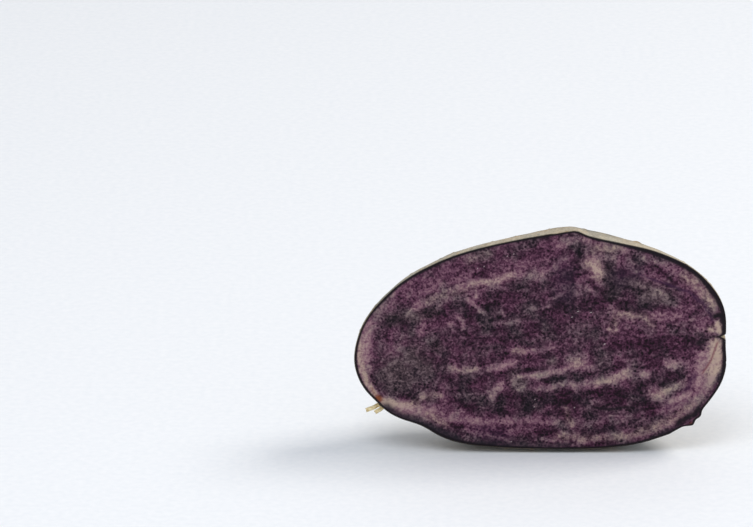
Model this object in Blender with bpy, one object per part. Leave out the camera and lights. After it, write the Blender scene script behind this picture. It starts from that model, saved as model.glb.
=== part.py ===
"""Half of a purple potato, cut lengthwise and standing on its belly with the cut face upright.

The tuber grew as one piece, so flesh and skin are one solid, tuber_half. The dry stub of the stolon,
the runner that the tuber hung from, is a second one, set in the scar at the stem end.
Metres, +Z up. The stem end is at -X and the rose end at +X. The cut face looks along -Y.
The origin is under the middle of the half, on the surface that it stands on.
"""

import math

import bmesh
import bpy
import numpy as np
from mathutils import Vector

MM = 0.001

# Driving dimensions, in millimetres. The cut face is LENGTH by HEIGHT.
LENGTH = 100.0
HEIGHT = 62.0
DEPTH = 25.0

# The rim of the cut face, (x, z) from its middle, anticlockwise from the rose end as seen from -Y
OUTLINE = [
    (49.9, -1.7), (48.9, 10.2), (42.9, 18.6), (31.2, 25.1), (22.9, 27.3),
    (13.4, 29.5), (8.8, 31.0), (3.5, 30.4), (-14.2, 26.9), (-28.2, 22.1),
    (-40.1, 14.3), (-48.7, 2.2), (-49.9, -7.0), (-47.1, -13.8), (-43.0, -17.7),
    (-36.8, -22.1), (-32.3, -23.8), (-21.6, -29.0), (-12.0, -30.4), (10.0, -31.0),
    (24.5, -29.6), (36.9, -25.1), (41.8, -21.8), (46.8, -14.7), (50.0, -7.0),
]

# Small kinks of the rim die out towards the back, where only its slow waves are left
SLOW_WAVES = 4
KINK_REACH = 22.0  # degrees from the rim
LOOK_ROUND = 360

# How full the back is round the rim, as a superellipse exponent: 2 is an ellipse, more is boxier
FULL_ALL_ROUND = 2.15
FULL_BELOW = (1.5, -90.0, 55.0)  # amount, bearing and width in degrees
FULL_UPPER_RIGHT = (0.55, 38.0, 45.0)

# The belly sags below the rim, and a flat where it lay on the soil is what the half stands on
BELLY_SAG = 2.6
REST_BELOW_MIDDLE = 32.1
POLE_SHIFT = (3.0, -1.5)  # how far the deepest point lies from the middle, along x and z

# Slow swellings of the back: height, waves along x, y and z over 100 mm, and phase in radians
SWELLINGS = [
    (0.55, (1.1, 0.6, 1.7), 0.4),
    (0.40, (2.3, 1.4, -1.2), 2.1),
    (0.28, (-1.6, 2.9, 2.6), 4.0),
    (0.18, (3.7, -2.2, 3.1), 1.3),
]
SWELLING_SPAN = 100.0
STILL_AT_RIM = 0.25  # share of the depth over which the swellings fade in from the rim

# Eyes stand in a spiral from the rose end, each this far on along x and round the tuber
EYE_COUNT = 11
EYE_STEP = 8.2
EYE_TURN = 137.5
FIRST_EYE_BEARING = -90.0  # of eye 1, from +Y towards +Z
EYE_DENT = 1.25
EYE_ACROSS = 3.6
EYE_ALONG = 2.1
BROW_RISE = 0.45
BROW_BACK = 3.4  # from the eye's middle towards the stem end
BROW_THICK = 1.3
RIM_EYE_SHARE = 0.35  # eyes that the knife met show this much of their dent
BELLY_BELOW = -0.75  # eyes lower than this share of the half height were pressed flat in the soil

# The stolon's stub: a button in the scar, and the two strands left of it
SCAR = (-42.5, 2.9, -18.9)
SCAR_OUTWARD = (-0.86, 0.04, -0.51)
BUTTON_RADIUS = 1.35
BUTTON_SUNK = 1.5
BUTTON_PROUD = 0.35
CLEARANCE = 0.3
STRAND_RADIUS = 0.5
LONG_STRAND = [(-42.3, 3.1, -18.6), (-43.6, 2.9, -19.1), (-45.2, 2.4, -19.7), (-47.0, 1.9, -20.1)]
SHORT_STRAND = [(-42.0, 2.3, -19.0), (-43.0, 1.9, -19.8), (-44.3, 1.4, -20.5)]

GRID = 34  # cells along a quarter turn of the half's skin
BUTTON_SIDES = 20


def bump(angle, amount, bearing, width):
    """A smooth rise of that amount at a bearing, gone about two widths away; degrees in, any sign."""
    away = (np.degrees(angle) - bearing + 180.0) % 360.0 - 180.0
    return amount * np.exp(-((away / width) ** 2))


def rim_radius(angle):
    """Distance from the middle to the rim at an angle: a closed cubic through OUTLINE."""
    x, z = np.array(OUTLINE).T * [[LENGTH / 100.0], [HEIGHT / 62.0]]
    turn = np.arctan2(z, x)
    order = np.argsort(turn)
    turn, reach = turn[order], np.hypot(x, z)[order]
    turn = np.concatenate([turn[-2:] - 2 * math.pi, turn, turn[:2] + 2 * math.pi])
    reach = np.concatenate([reach[-2:], reach, reach[:2]])
    slope = np.gradient(reach, turn)
    i = np.clip(np.searchsorted(turn, angle) - 1, 0, len(turn) - 2)
    gap = turn[i + 1] - turn[i]
    t = (angle - turn[i]) / gap
    return (
        reach[i] * (1 + 2 * t) * (1 - t) ** 2
        + slope[i] * gap * t * (1 - t) ** 2
        + reach[i + 1] * t**2 * (3 - 2 * t)
        + slope[i + 1] * gap * t**2 * (t - 1)
    )


def slow_radius(angle):
    """The same distance with the slow waves of the rim only."""
    turns = np.arange(LOOK_ROUND) * 2 * math.pi / LOOK_ROUND - math.pi
    waves = np.fft.rfft(rim_radius(turns)) / LOOK_ROUND
    reach = np.full(len(angle), waves[0].real)
    for k in range(1, SLOW_WAVES + 1):
        reach += 2 * (waves[k] * np.exp(1j * k * (angle + math.pi))).real
    return reach


def plain_surface(way):
    """The skin without its relief, in millimetres from the middle of the cut face.

    way holds unit vectors with y at least 0. Those with y = 0 land on the rim.
    """
    angle = np.arctan2(way[:, 2], way[:, 0])
    lift = np.arcsin(np.clip(way[:, 1], 0.0, 1.0))
    full = FULL_ALL_ROUND + bump(angle, *FULL_BELOW) + bump(angle, *FULL_UPPER_RIGHT)
    reach = (np.cos(lift) ** full + np.sin(lift) ** full) ** (-1 / full)
    kinks = np.exp(-((np.degrees(lift) / KINK_REACH) ** 2))
    radius = slow_radius(angle) + kinks * (rim_radius(angle) - slow_radius(angle))
    out = radius * np.cos(lift) * reach
    back = np.sin(lift) * reach
    below = np.clip(-np.sin(angle), 0.0, 1.0) ** 2 * np.cos(lift)
    sag = BELLY_SAG * np.sin(math.pi * np.clip(back, 0.0, 1.0)) * below
    x = out * np.cos(angle) + POLE_SHIFT[0] * back**2
    z = out * np.sin(angle) + POLE_SHIFT[1] * back**2 - sag
    return np.column_stack([x, DEPTH * back, z])


def outward(points):
    """Rough normals of the skin: those of an ellipsoid with the same half sizes."""
    steep = points / np.array([LENGTH / 2, DEPTH, HEIGHT / 2]) ** 2
    return steep / np.linalg.norm(steep, axis=1, keepdims=True)


def swelling(points):
    """Slow unevenness of the back, nothing at the rim."""
    rise = np.zeros(len(points))
    for height, waves, phase in SWELLINGS:
        rise += height * np.sin(2 * math.pi * (points @ np.array(waves)) / SWELLING_SPAN + phase)
    fade = np.clip(points[:, 1] / (STILL_AT_RIM * DEPTH), 0.0, 1.0)
    return rise * fade**2 * (3 - 2 * fade)


def eye_places():
    """Each eye that this half keeps: its place on the plain skin, and how much of its relief shows."""
    kept = []
    for k in range(1, EYE_COUNT + 1):
        along = 1.0 - k * EYE_STEP / (LENGTH / 2)
        bearing = math.radians(FIRST_EYE_BEARING + (k - 1) * EYE_TURN)
        round_it = math.sqrt(1.0 - along**2)
        way = np.array([[along, round_it * math.cos(bearing), round_it * math.sin(bearing)]])
        near_rim = abs(way[0, 1]) < 0.25
        if (way[0, 1] < 0 and not near_rim) or way[0, 2] < BELLY_BELOW:
            continue
        way[0, 1] = max(way[0, 1], 0.0)
        way /= np.linalg.norm(way)
        kept.append((plain_surface(way), RIM_EYE_SHARE if near_rim else 1.0))
    return kept


def eye_relief(points):
    """The dent of each eye, and the brow-like leaf scar on its stem side."""
    rise = np.zeros(len(points))
    for place, share in eye_places():
        up = outward(place)[0]
        along = np.array([1.0, 0.0, 0.0]) - up[0] * up
        along /= np.linalg.norm(along)
        across = np.cross(up, along)
        off = points - place
        u, v = off @ along, off @ across
        near = np.exp(-((off @ up) / (2 * EYE_ACROSS)) ** 2)
        dent = np.exp(-((u / EYE_ALONG) ** 2) - (v / EYE_ACROSS) ** 2)
        bow = u + BROW_BACK - v**2 / (2.5 * EYE_ACROSS)
        brow = np.exp(-((bow / BROW_THICK) ** 2) - (v / (1.1 * EYE_ACROSS)) ** 4)
        rise += share * near * (BROW_RISE * brow - EYE_DENT * dent)
    return rise


def skin_surface(way):
    """The half's skin, in millimetres from the middle of the cut face."""
    plain = plain_surface(way)
    points = plain + outward(plain) * (swelling(plain) + eye_relief(plain))[:, None]
    points[:, 1] = np.maximum(points[:, 1], 0.0)
    points[:, 2] = np.maximum(points[:, 2], -REST_BELOW_MIDDLE)
    return points


def half_ball(cells):
    """An open half ball of even quads: a gridded cube blown round, without its -Y side."""
    ball = bmesh.new()
    bmesh.ops.create_cube(ball, size=2.0)
    bmesh.ops.subdivide_edges(ball, edges=ball.edges[:], cuts=cells - 1, use_grid_fill=True)
    for vert in ball.verts:
        vert.co = Vector([math.tan(c * math.pi / 4) for c in vert.co]).normalized()
    bmesh.ops.delete(ball, geom=[v for v in ball.verts if v.co.y < -1e-5], context="VERTS")
    return ball


def make_material(name, colour, roughness):
    material = bpy.data.materials.new(name)
    material.use_nodes = True
    shader = material.node_tree.nodes["Principled BSDF"]
    shader.inputs["Base Color"].default_value = (*colour, 1.0)
    shader.inputs["Roughness"].default_value = roughness
    shader.inputs["Metallic"].default_value = 0.0
    return material


def new_object(name, mesh, collection, material=None):
    made = bpy.data.objects.new(name, mesh)
    collection.objects.link(made)
    if material:
        mesh.materials.append(material)
    return made


def make_tuber_half(collection, flesh, skin):
    """The half as one closed solid, and the shift that brings the origin under its middle."""
    body = half_ball(GRID)
    ways = np.array([v.co for v in body.verts], float)
    points = skin_surface(ways)
    low, high = points.min(axis=0), points.max(axis=0)
    shift = np.array([-(low[0] + high[0]) / 2, -high[1] / 2, REST_BELOW_MIDDLE])
    for vert, point in zip(body.verts, (points + shift) * MM):
        vert.co = point
    for face in body.faces:
        face.material_index = 1
    rim = [edge for edge in body.edges if edge.is_boundary]
    bmesh.ops.edgeloop_fill(body, edges=rim, mat_nr=0)
    bmesh.ops.recalc_face_normals(body, faces=body.faces[:])
    mesh = bpy.data.meshes.new("tuber_half")
    body.to_mesh(mesh)
    body.free()
    tuber = new_object("tuber_half", mesh, collection, flesh)
    mesh.materials.append(skin)
    mesh.shade_smooth()
    mesh.set_sharp_from_angle(angle=math.radians(40))
    return tuber, shift


def make_plug(name, collection, shift, radius, sunk, proud, material=None):
    """A round plug along the scar's axis, from sunk below the skin to proud of it."""
    plug = bmesh.new()
    bmesh.ops.create_cone(
        plug, cap_ends=True, segments=BUTTON_SIDES, radius1=radius * MM,
        radius2=radius * MM, depth=(sunk + proud) * MM,
    )
    mesh = bpy.data.meshes.new(name)
    plug.to_mesh(mesh)
    plug.free()
    made = new_object(name, mesh, collection, material)
    outward_axis = Vector(SCAR_OUTWARD).normalized()
    middle = (Vector(SCAR) + Vector(shift)) * MM
    made.location = middle + outward_axis * (proud - sunk) / 2 * MM
    made.rotation_euler = outward_axis.to_track_quat("Z", "Y").to_euler()
    return made


def make_strand(name, route, collection, shift):
    """One dry strand as a tube with closed ends, made a mesh so that the stub's union can take it."""
    curve = bpy.data.curves.new(name, "CURVE")
    curve.dimensions = "3D"
    curve.bevel_depth = STRAND_RADIUS * MM
    curve.bevel_resolution = 2
    curve.use_fill_caps = True
    spline = curve.splines.new("POLY")
    spline.points.add(len(route) - 1)
    for point, place in zip(spline.points, route):
        point.co = (*((Vector(place) + Vector(shift)) * MM), 1.0)
    tube = bpy.data.objects.new(name, curve)
    collection.objects.link(tube)
    bpy.context.view_layer.update()
    shape = tube.evaluated_get(bpy.context.evaluated_depsgraph_get())
    mesh = bpy.data.meshes.new_from_object(shape)
    welded = bmesh.new()
    welded.from_mesh(mesh)
    bmesh.ops.remove_doubles(welded, verts=welded.verts[:], dist=0.00001)
    bmesh.ops.recalc_face_normals(welded, faces=welded.faces[:])
    welded.to_mesh(mesh)
    welded.free()
    made = new_object(name, mesh, collection)
    made.matrix_world = tube.matrix_world
    bpy.data.objects.remove(tube)
    return made


def apply_boolean(target, operation, cutters):
    """Joins or cuts target by every object in a collection, applied at once."""
    modifier = target.modifiers.new(operation.lower(), "BOOLEAN")
    modifier.operation = operation
    modifier.operand_type = "COLLECTION"
    modifier.collection = cutters
    bpy.context.view_layer.update()
    shape = target.evaluated_get(bpy.context.evaluated_depsgraph_get())
    mesh = bpy.data.meshes.new_from_object(shape)
    target.modifiers.remove(modifier)
    target.data = mesh
    for cutter in list(cutters.objects):
        bpy.data.objects.remove(cutter)


def make_stolon_stub(collection, strands, shift, straw):
    """The button in the scar with its two strands, joined in one solid."""
    stub = make_plug("stolon_stub", collection, shift, BUTTON_RADIUS, BUTTON_SUNK, BUTTON_PROUD, straw)
    make_strand("long_strand", LONG_STRAND, strands, shift)
    make_strand("short_strand", SHORT_STRAND, strands, shift)
    apply_boolean(stub, "UNION", strands)
    return stub


def main():
    for old in list(bpy.data.objects):
        bpy.data.objects.remove(old, do_unlink=True)
    scene = bpy.context.scene.collection
    potato = bpy.data.collections.new("purple_potato_half")
    tools = bpy.data.collections.new("cutters_and_strands")
    scene.children.link(potato)
    scene.children.link(tools)
    flesh = make_material("purple flesh", (0.075, 0.030, 0.070), 0.45)
    skin = make_material("russet skin", (0.200, 0.150, 0.095), 0.85)
    straw = make_material("dry stolon", (0.560, 0.430, 0.230), 0.80)

    tuber, shift = make_tuber_half(potato, flesh, skin)
    make_plug("scar_pit", tools, shift, BUTTON_RADIUS + CLEARANCE, BUTTON_SUNK + CLEARANCE, 3.0)
    apply_boolean(tuber, "DIFFERENCE", tools)
    make_stolon_stub(potato, tools, shift, straw)


main()
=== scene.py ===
# %% [markdown]
# # Half a purple potato
# This lesson dresses one half of a purple-fleshed potato, cut lengthwise and standing on its belly. The
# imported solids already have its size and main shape. Three things are made finer here: the grown skin
# with its eyes and pores, the moist cut flesh with its streaks of pigment, and the two dry strands that
# are left of the stolon, the runner that the tuber hung from.

# %% Load the frame
import math

import bmesh
import bpy
import numpy as np
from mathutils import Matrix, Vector, noise


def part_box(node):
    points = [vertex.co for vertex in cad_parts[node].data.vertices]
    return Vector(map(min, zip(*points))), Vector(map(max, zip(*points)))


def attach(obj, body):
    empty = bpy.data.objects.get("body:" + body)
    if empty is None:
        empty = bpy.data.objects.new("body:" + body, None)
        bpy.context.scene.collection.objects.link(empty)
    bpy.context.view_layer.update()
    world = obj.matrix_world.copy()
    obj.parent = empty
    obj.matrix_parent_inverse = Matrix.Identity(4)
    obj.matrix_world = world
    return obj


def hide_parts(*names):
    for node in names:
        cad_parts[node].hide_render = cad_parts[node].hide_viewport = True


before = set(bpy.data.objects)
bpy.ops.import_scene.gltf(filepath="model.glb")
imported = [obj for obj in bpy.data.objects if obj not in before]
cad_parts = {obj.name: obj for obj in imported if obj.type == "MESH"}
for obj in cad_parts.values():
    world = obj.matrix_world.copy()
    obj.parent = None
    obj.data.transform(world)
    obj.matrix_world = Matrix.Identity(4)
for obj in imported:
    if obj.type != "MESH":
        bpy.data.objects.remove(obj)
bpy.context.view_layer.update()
tuber_low, tuber_high = (np.array(corner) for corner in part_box("tuber_half"))
print("tuber_half is", ((tuber_high - tuber_low) * 1000).round(1), "mm")

# %% [markdown]
# ## The camera
# The face is seen a little from above, so a thin strip of skin shows over its top edge. The strip's
# height against the tuber's depth gives the angle, about 18 degrees. A long lens from over a metre away
# keeps the oval from looking pinched. The half stands right of and below the middle of the picture, so
# the camera is moved sideways and up by the same distance, and the lens needs no shift.

# %% Place the camera
MM = 0.001
PICTURE_WIDE, PICTURE_HIGH = 753, 527  # pixels
FACE_PIXEL = (540.5, 341.0)  # where the middle of the cut face shows
FACE_PIXELS_LONG = 372.0
LENGTH = 100.0  # of the half, in millimetres
REST_BELOW_MIDDLE = 32.1  # from the middle of the face down to the table
ELEVATION = math.radians(18.0)
LENS = 250.0
SENSOR = 36.0

face_middle = Vector((0.0, tuber_low[1], REST_BELOW_MIDDLE * MM))
metres_per_pixel = LENGTH * MM / FACE_PIXELS_LONG
distance = metres_per_pixel * PICTURE_WIDE * LENS / SENSOR
camera_right = Vector((1.0, 0.0, 0.0))
camera_up = Vector((0.0, math.sin(ELEVATION), math.cos(ELEVATION)))
camera_back = Vector((0.0, -math.cos(ELEVATION), math.sin(ELEVATION)))
aside = (FACE_PIXEL[0] - PICTURE_WIDE / 2) * metres_per_pixel
below = (FACE_PIXEL[1] - PICTURE_HIGH / 2) * metres_per_pixel

camera = bpy.data.objects.new("camera", bpy.data.cameras.new("camera"))
bpy.context.scene.collection.objects.link(camera)
camera.location = face_middle - camera_right * aside + camera_up * below + camera_back * distance
camera.rotation_euler = camera_back.to_track_quat("Z", "Y").to_euler()
camera.data.lens = LENS
camera.data.sensor_width = SENSOR
bpy.context.scene.camera = camera
print(f"the camera stands {distance:.3f} m away")

# %% [markdown]
# ## Colours and nodes
# Colours are picked the way one sees them, as sRGB hex values, but Blender mixes light in linear
# numbers. One function turns the first into the second. Another adds any shader node, so that each
# material below reads as a list of what it is made of.


# %% Helpers for materials
def linear(hex_colour):
    """An sRGB colour such as "7a5a48" as linear red, green, blue and alpha."""
    parts = [int(hex_colour[i : i + 2], 16) / 255 for i in (0, 2, 4)]
    return [p / 12.92 if p <= 0.04045 else ((p + 0.055) / 1.055) ** 2.4 for p in parts] + [1.0]


def add(tree, kind, inputs=None, stops=None, **settings):
    """Adds a shader node. inputs holds sockets to link or values to set, and stops are a ramp's colours."""
    made = tree.nodes.new("ShaderNode" + kind)
    for name, value in settings.items():
        setattr(made, name, value)
    for key, value in (inputs or {}).items():
        if isinstance(value, bpy.types.NodeSocket):
            tree.links.new(value, made.inputs[key])
        else:
            made.inputs[key].default_value = value
    for i, (place, colour) in enumerate(stops or []):
        stop = made.color_ramp.elements[i] if i < 2 else made.color_ramp.elements.new(place)
        stop.position = place
        stop.color = linear(colour)
    return made


def new_material(name):
    """An empty material and its tree."""
    material = bpy.data.materials.new(name)
    material.use_nodes = True
    material.node_tree.nodes.clear()
    return material, material.node_tree


# %% [markdown]
# ## The tuber's shape
# A potato is a swollen stem. Its half could be sculpted by hand, but then it would hardly stay on the
# solid that the physics uses. Here the same rule makes both: the rim of the cut is a closed cubic
# through a few measured points, and the back bulges from it as a superellipse. The finer mesh only adds
# what is too small for the solid.

# %% The rim of the cut
HEIGHT = 62.0
DEPTH = 25.0
OUTLINE = [
    (49.9, -1.7), (48.9, 10.2), (42.9, 18.6), (31.2, 25.1), (22.9, 27.3),
    (13.4, 29.5), (8.8, 31.0), (3.5, 30.4), (-14.2, 26.9), (-28.2, 22.1),
    (-40.1, 14.3), (-48.7, 2.2), (-49.9, -7.0), (-47.1, -13.8), (-43.0, -17.7),
    (-36.8, -22.1), (-32.3, -23.8), (-21.6, -29.0), (-12.0, -30.4), (10.0, -31.0),
    (24.5, -29.6), (36.9, -25.1), (41.8, -21.8), (46.8, -14.7), (50.0, -7.0),
]


def smooth_step(x, low, high):
    """0 below low, 1 above high, and an even bend between them."""
    t = np.clip((x - low) / (high - low), 0.0, 1.0)
    return t * t * (3 - 2 * t)


def rim_radius(angle):
    """Distance from the middle to the rim at an angle: a closed cubic through OUTLINE."""
    x, z = np.array(OUTLINE).T
    turn = np.arctan2(z, x)
    order = np.argsort(turn)
    turn, reach = turn[order], np.hypot(x, z)[order]
    turn = np.concatenate([turn[-2:] - 2 * math.pi, turn, turn[:2] + 2 * math.pi])
    reach = np.concatenate([reach[-2:], reach, reach[:2]])
    slope = np.gradient(reach, turn)
    i = np.clip(np.searchsorted(turn, angle) - 1, 0, len(turn) - 2)
    gap = turn[i + 1] - turn[i]
    t = (angle - turn[i]) / gap
    return (
        reach[i] * (1 + 2 * t) * (1 - t) ** 2
        + slope[i] * gap * t * (1 - t) ** 2
        + reach[i + 1] * t**2 * (3 - 2 * t)
        + slope[i + 1] * gap * t**2 * (t - 1)
    )


rim_below, rim_right = rim_radius(np.array([-math.pi / 2, 0.0]))
print(f"the rim lies {rim_below:.1f} mm below the middle and {rim_right:.1f} mm to its right")

# %% [markdown]
# The solid leaves out what is too small for it: the corner where the knife met an eye at the lower right,
# some lesser ones, and the narrow notch that the bud at the rose end has pulled in. Each is one smooth
# bump on the rim's distance, so that one can be moved without bending the rest.

# %% Small corners and the notch
NOTCH_ANGLE = math.atan2(1.2, 49.0)
NOTCH_DEEP = 1.6
NOTCH_HALF_WIDE = 0.36
NOTCH_POINTED = 1.5  # 2 would round its bottom
# The rise in millimetres, and the bearing and width in degrees
RIM_CORNERS = [
    (0.75, -154.0, 6.0), (0.9, -26.4, 1.6), (1.4, -29.9, 1.7), (0.5, -35.0, 6.0), (0.6, -15.5, 6.0),
    (0.2, 73.0, 2.5), (0.65, -136.0, 7.0), (0.35, -46.0, 6.0),
]


def bump(angle, amount, bearing, width):
    """A smooth rise of that amount at a bearing, gone about two widths away."""
    away = (np.degrees(angle) - bearing + 180.0) % 360.0 - 180.0
    return amount * np.exp(-((away / width) ** 2))


def fine_rim(angle):
    """What the small corners and the notch add to the rim's distance."""
    off = np.abs(angle - NOTCH_ANGLE) * LENGTH / 2
    notch = NOTCH_DEEP * np.exp(-((off / NOTCH_HALF_WIDE) ** NOTCH_POINTED))
    return sum(bump(angle, *corner) for corner in RIM_CORNERS) - notch


print(len(RIM_CORNERS), "small corners and a notch", NOTCH_DEEP, "mm deep")

# %% [markdown]
# ## The rounded back
# Behind the cut the tuber swells fuller than an ellipsoid, most of all below, where it lay pressed in the
# soil. A superellipse does this with one number, how full it is, and that number can differ round the
# rim. The rim's small kinks die out towards the back, as growth evens them out.

# %% The bulge behind the rim
SLOW_WAVES = 4
KINK_REACH = 22.0  # degrees from the rim over which its small kinks die out
LOOK_ROUND = 360
FULL_ALL_ROUND = 2.15
FULL_BELOW = (1.5, -90.0, 55.0)  # amount, bearing and width in degrees
FULL_UPPER_RIGHT = (0.55, 38.0, 45.0)
# Where the skin falls away a little just behind the rim, finer than the solid: millimetres, degrees
LOWER_BEHIND_RIM = [(0.6, 155.0, 22.0), (0.7, 28.0, 14.0)]
LOW_UNTIL = 0.62  # of the depth
BELLY_SAG = 2.6
POLE_SHIFT = (3.0, -1.5)


def slow_radius(angle):
    """The rim's distance with its slow waves only."""
    turns = np.arange(LOOK_ROUND) * 2 * math.pi / LOOK_ROUND - math.pi
    waves = np.fft.rfft(rim_radius(turns)) / LOOK_ROUND
    reach = np.full(len(angle), waves[0].real)
    for k in range(1, SLOW_WAVES + 1):
        reach += 2 * (waves[k] * np.exp(1j * k * (angle + math.pi))).real
    return reach


def plain_surface(way):
    """The skin without its relief, in millimetres from the middle of the cut face, along unit vectors."""
    angle = np.arctan2(way[:, 2], way[:, 0])
    lift = np.arcsin(np.clip(way[:, 1], 0.0, 1.0))
    full = FULL_ALL_ROUND + bump(angle, *FULL_BELOW) + bump(angle, *FULL_UPPER_RIGHT)
    reach = (np.cos(lift) ** full + np.sin(lift) ** full) ** (-1 / full)
    kinks = np.exp(-((np.degrees(lift) / KINK_REACH) ** 2))
    radius = slow_radius(angle) + kinks * (rim_radius(angle) - slow_radius(angle))
    radius += fine_rim(angle) * kinks**4
    out = radius * np.cos(lift) * reach
    back = np.sin(lift) * reach
    lower = sum(bump(angle, *part) for part in LOWER_BEHIND_RIM)
    out -= lower * np.sin(math.pi * np.clip(back / LOW_UNTIL, 0.0, 1.0))
    under = np.clip(-np.sin(angle), 0.0, 1.0) ** 2 * np.cos(lift)
    sag = BELLY_SAG * np.sin(math.pi * np.clip(back, 0.0, 1.0)) * under
    x = out * np.cos(angle) + POLE_SHIFT[0] * back**2
    z = out * np.sin(angle) + POLE_SHIFT[1] * back**2 - sag
    return np.column_stack([x, DEPTH * back, z])


deepest = plain_surface(np.array([[0.0, 1.0, 0.0]]))[0]
print("the deepest point lies at", deepest.round(1), "mm from the middle of the face")

# %% Slow swellings
# The height in millimetres, the waves per SWELLING_SPAN along x, y and z, and the phase
SWELLINGS = [
    (0.55, (1.1, 0.6, 1.7), 0.4),
    (0.40, (2.3, 1.4, -1.2), 2.1),
    (0.28, (-1.6, 2.9, 2.6), 4.0),
    (0.18, (3.7, -2.2, 3.1), 1.3),
]
SWELLING_SPAN = 100.0
STILL_AT_RIM = 0.5  # they reach their full height this share of the depth behind the rim


def outward(points):
    """Rough normals of the skin: those of an ellipsoid with the same half sizes."""
    steep = points / np.array([LENGTH / 2, DEPTH, HEIGHT / 2]) ** 2
    return steep / np.linalg.norm(steep, axis=1, keepdims=True)


def swelling(points):
    """Slow unevenness of the back, nothing at the rim."""
    rise = np.zeros(len(points))
    for height, waves, phase in SWELLINGS:
        rise += height * np.sin(2 * math.pi * (points @ np.array(waves)) / SWELLING_SPAN + phase)
    return rise * smooth_step(points[:, 1], 0.0, STILL_AT_RIM * DEPTH)


print("the back swells by at most", round(sum(height for height, _, _ in SWELLINGS), 2), "mm")

# %% [markdown]
# ## Eyes
# Eyes are buds on a stem, so they stand in a spiral, each about 137.5 degrees on from the last. Each is
# a shallow hollow with a curved brow on its stem-end side, the scar of a tiny leaf, and a bud inside.
# Following the plant's own rule puts them where they belong, where scattering them wouldn't.

# %% Where the eyes stand
EYE_COUNT = 11
EYE_STEP = 8.2  # millimetres from one to the next, towards the stem end
EYE_TURN = 137.5
FIRST_EYE_BEARING = -90.0
# Along unit vectors from the middle of the face:
RIM_BELOW = 0.25  # an eye this close to the cut is met by the knife
SHALLOW_BELOW = 0.45  # one this close shows only a part of its relief
BELLY_BELOW = -0.75  # one this low was pressed flat
RIM_EYE_SHARE = 0.12


def eye_places():
    """Each eye that this half keeps: its place on the plain skin, and how much of its relief shows."""
    kept = []
    for k in range(1, EYE_COUNT + 1):
        along = 1.0 - k * EYE_STEP / (LENGTH / 2)
        bearing = math.radians(FIRST_EYE_BEARING + (k - 1) * EYE_TURN)
        round_it = math.sqrt(1.0 - along**2)
        way = np.array([[along, round_it * math.cos(bearing), round_it * math.sin(bearing)]])
        near_rim = abs(way[0, 1]) < RIM_BELOW
        if (way[0, 1] < 0 and not near_rim) or way[0, 2] < BELLY_BELOW:
            continue
        way[0, 1] = max(way[0, 1], 0.0)
        way /= np.linalg.norm(way)
        kept.append((plain_surface(way), RIM_EYE_SHARE if way[0, 1] < SHALLOW_BELOW else 1.0))
    return kept


print(len(eye_places()), "eyes on this half")

# %% The relief of an eye
EYE_DENT = 1.25
EYE_ACROSS = 3.6
EYE_ALONG = 2.1
BROW_RISE = 0.55
BROW_BACK = 3.4  # from the middle of the eye
BROW_THICK = 1.3
BROW_HALF_LONG = 1.1 * EYE_ACROSS
BROW_BEND = 9.0  # millimetres, larger is straighter
CREASE_DEEP = 0.3
CREASE_WIDE = 0.55
CREASE_HALF_LONG = 0.95 * EYE_ACROSS
BUD_RISE = 0.4
BUD_RADIUS = 1.0


def eye_relief(points):
    """The rise of the skin at the eyes, and from 0 to 1 how much of a hollow or bud is there, and how much
    painted shade darkens the fold under each brow.
    """
    rise, hollow, bud, brow_shade = (np.zeros(len(points)) for _ in range(4))
    for place, share in eye_places():
        up = outward(place)[0]
        along = np.array([1.0, 0.0, 0.0]) - up[0] * up
        along /= np.linalg.norm(along)
        across = np.cross(up, along)
        off = points - place
        u, v = off @ along, off @ across
        near = np.exp(-((off @ up) / (2 * EYE_ACROSS)) ** 2)
        dent = np.exp(-((u / EYE_ALONG) ** 2) - (v / EYE_ACROSS) ** 2)
        bow = u + BROW_BACK - v**2 / BROW_BEND
        brow = np.exp(-((bow / BROW_THICK) ** 2) - (v / BROW_HALF_LONG) ** 4)
        fold = np.exp(-(((bow - BROW_THICK) / CREASE_WIDE) ** 2) - (v / CREASE_HALF_LONG) ** 4)
        lump = np.exp(-((u**2 + v**2) / BUD_RADIUS**2) ** 1.5)
        rise += share * near * (
            BROW_RISE * brow - EYE_DENT * dent - CREASE_DEEP * fold + BUD_RISE * lump
        )
        hollow += share * near * dent
        bud += share * near * lump
        brow_shade += share * near * fold
    return rise, np.clip(hollow, 0, 1), np.clip(bud, 0, 1), np.clip(brow_shade, 0, 1)


at_eyes = np.concatenate([place for place, _ in eye_places()])
print("the eyes' middles sink by up to", -eye_relief(at_eyes)[0].min().round(2), "mm")

# %% [markdown]
# ## Pores
# Through its cork the tuber breathes by lenticels, pale raised dots about 1 mm across. Between them are
# small dark pits where grit rubbed the skin. They are scattered with a fixed seed, and each is a real
# bump or dent, because the exported mesh keeps only geometry.

# %% Lenticels and pits
PORE_SEED = 7
LENTICELS = 230
LENTICEL_RISE = 0.13
LENTICEL_RADIUS = (0.3, 0.65)
PITS = 150
PIT_DEEP = 0.18
PIT_RADIUS = (0.25, 0.6)


def scatter(random, count):
    """Unit vectors over the back half of a ball."""
    ways = random.normal(size=(count, 3))
    ways[:, 1] = np.abs(ways[:, 1])
    return ways / np.linalg.norm(ways, axis=1, keepdims=True)


def dots(points, centres, radii):
    """How much each point lies on a dot, from 0 to 1. The nearest dots win."""
    shown = np.zeros(len(points))
    for centre, radius in zip(centres, radii):
        close = np.flatnonzero(np.abs(points - centre).max(axis=1) < 2 * radius)
        off = ((points[close] - centre) ** 2).sum(axis=1) / radius**2
        shown[close] = np.maximum(shown[close], np.exp(-(off**1.5)))
    return shown


random = np.random.default_rng(PORE_SEED)
lenticel_centres = plain_surface(scatter(random, LENTICELS))
lenticel_radii = random.uniform(*LENTICEL_RADIUS, LENTICELS)
pit_centres = plain_surface(scatter(random, PITS))
pit_radii = random.uniform(*PIT_RADIUS, PITS)
print(LENTICELS, "lenticels and", PITS, "pits")

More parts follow.
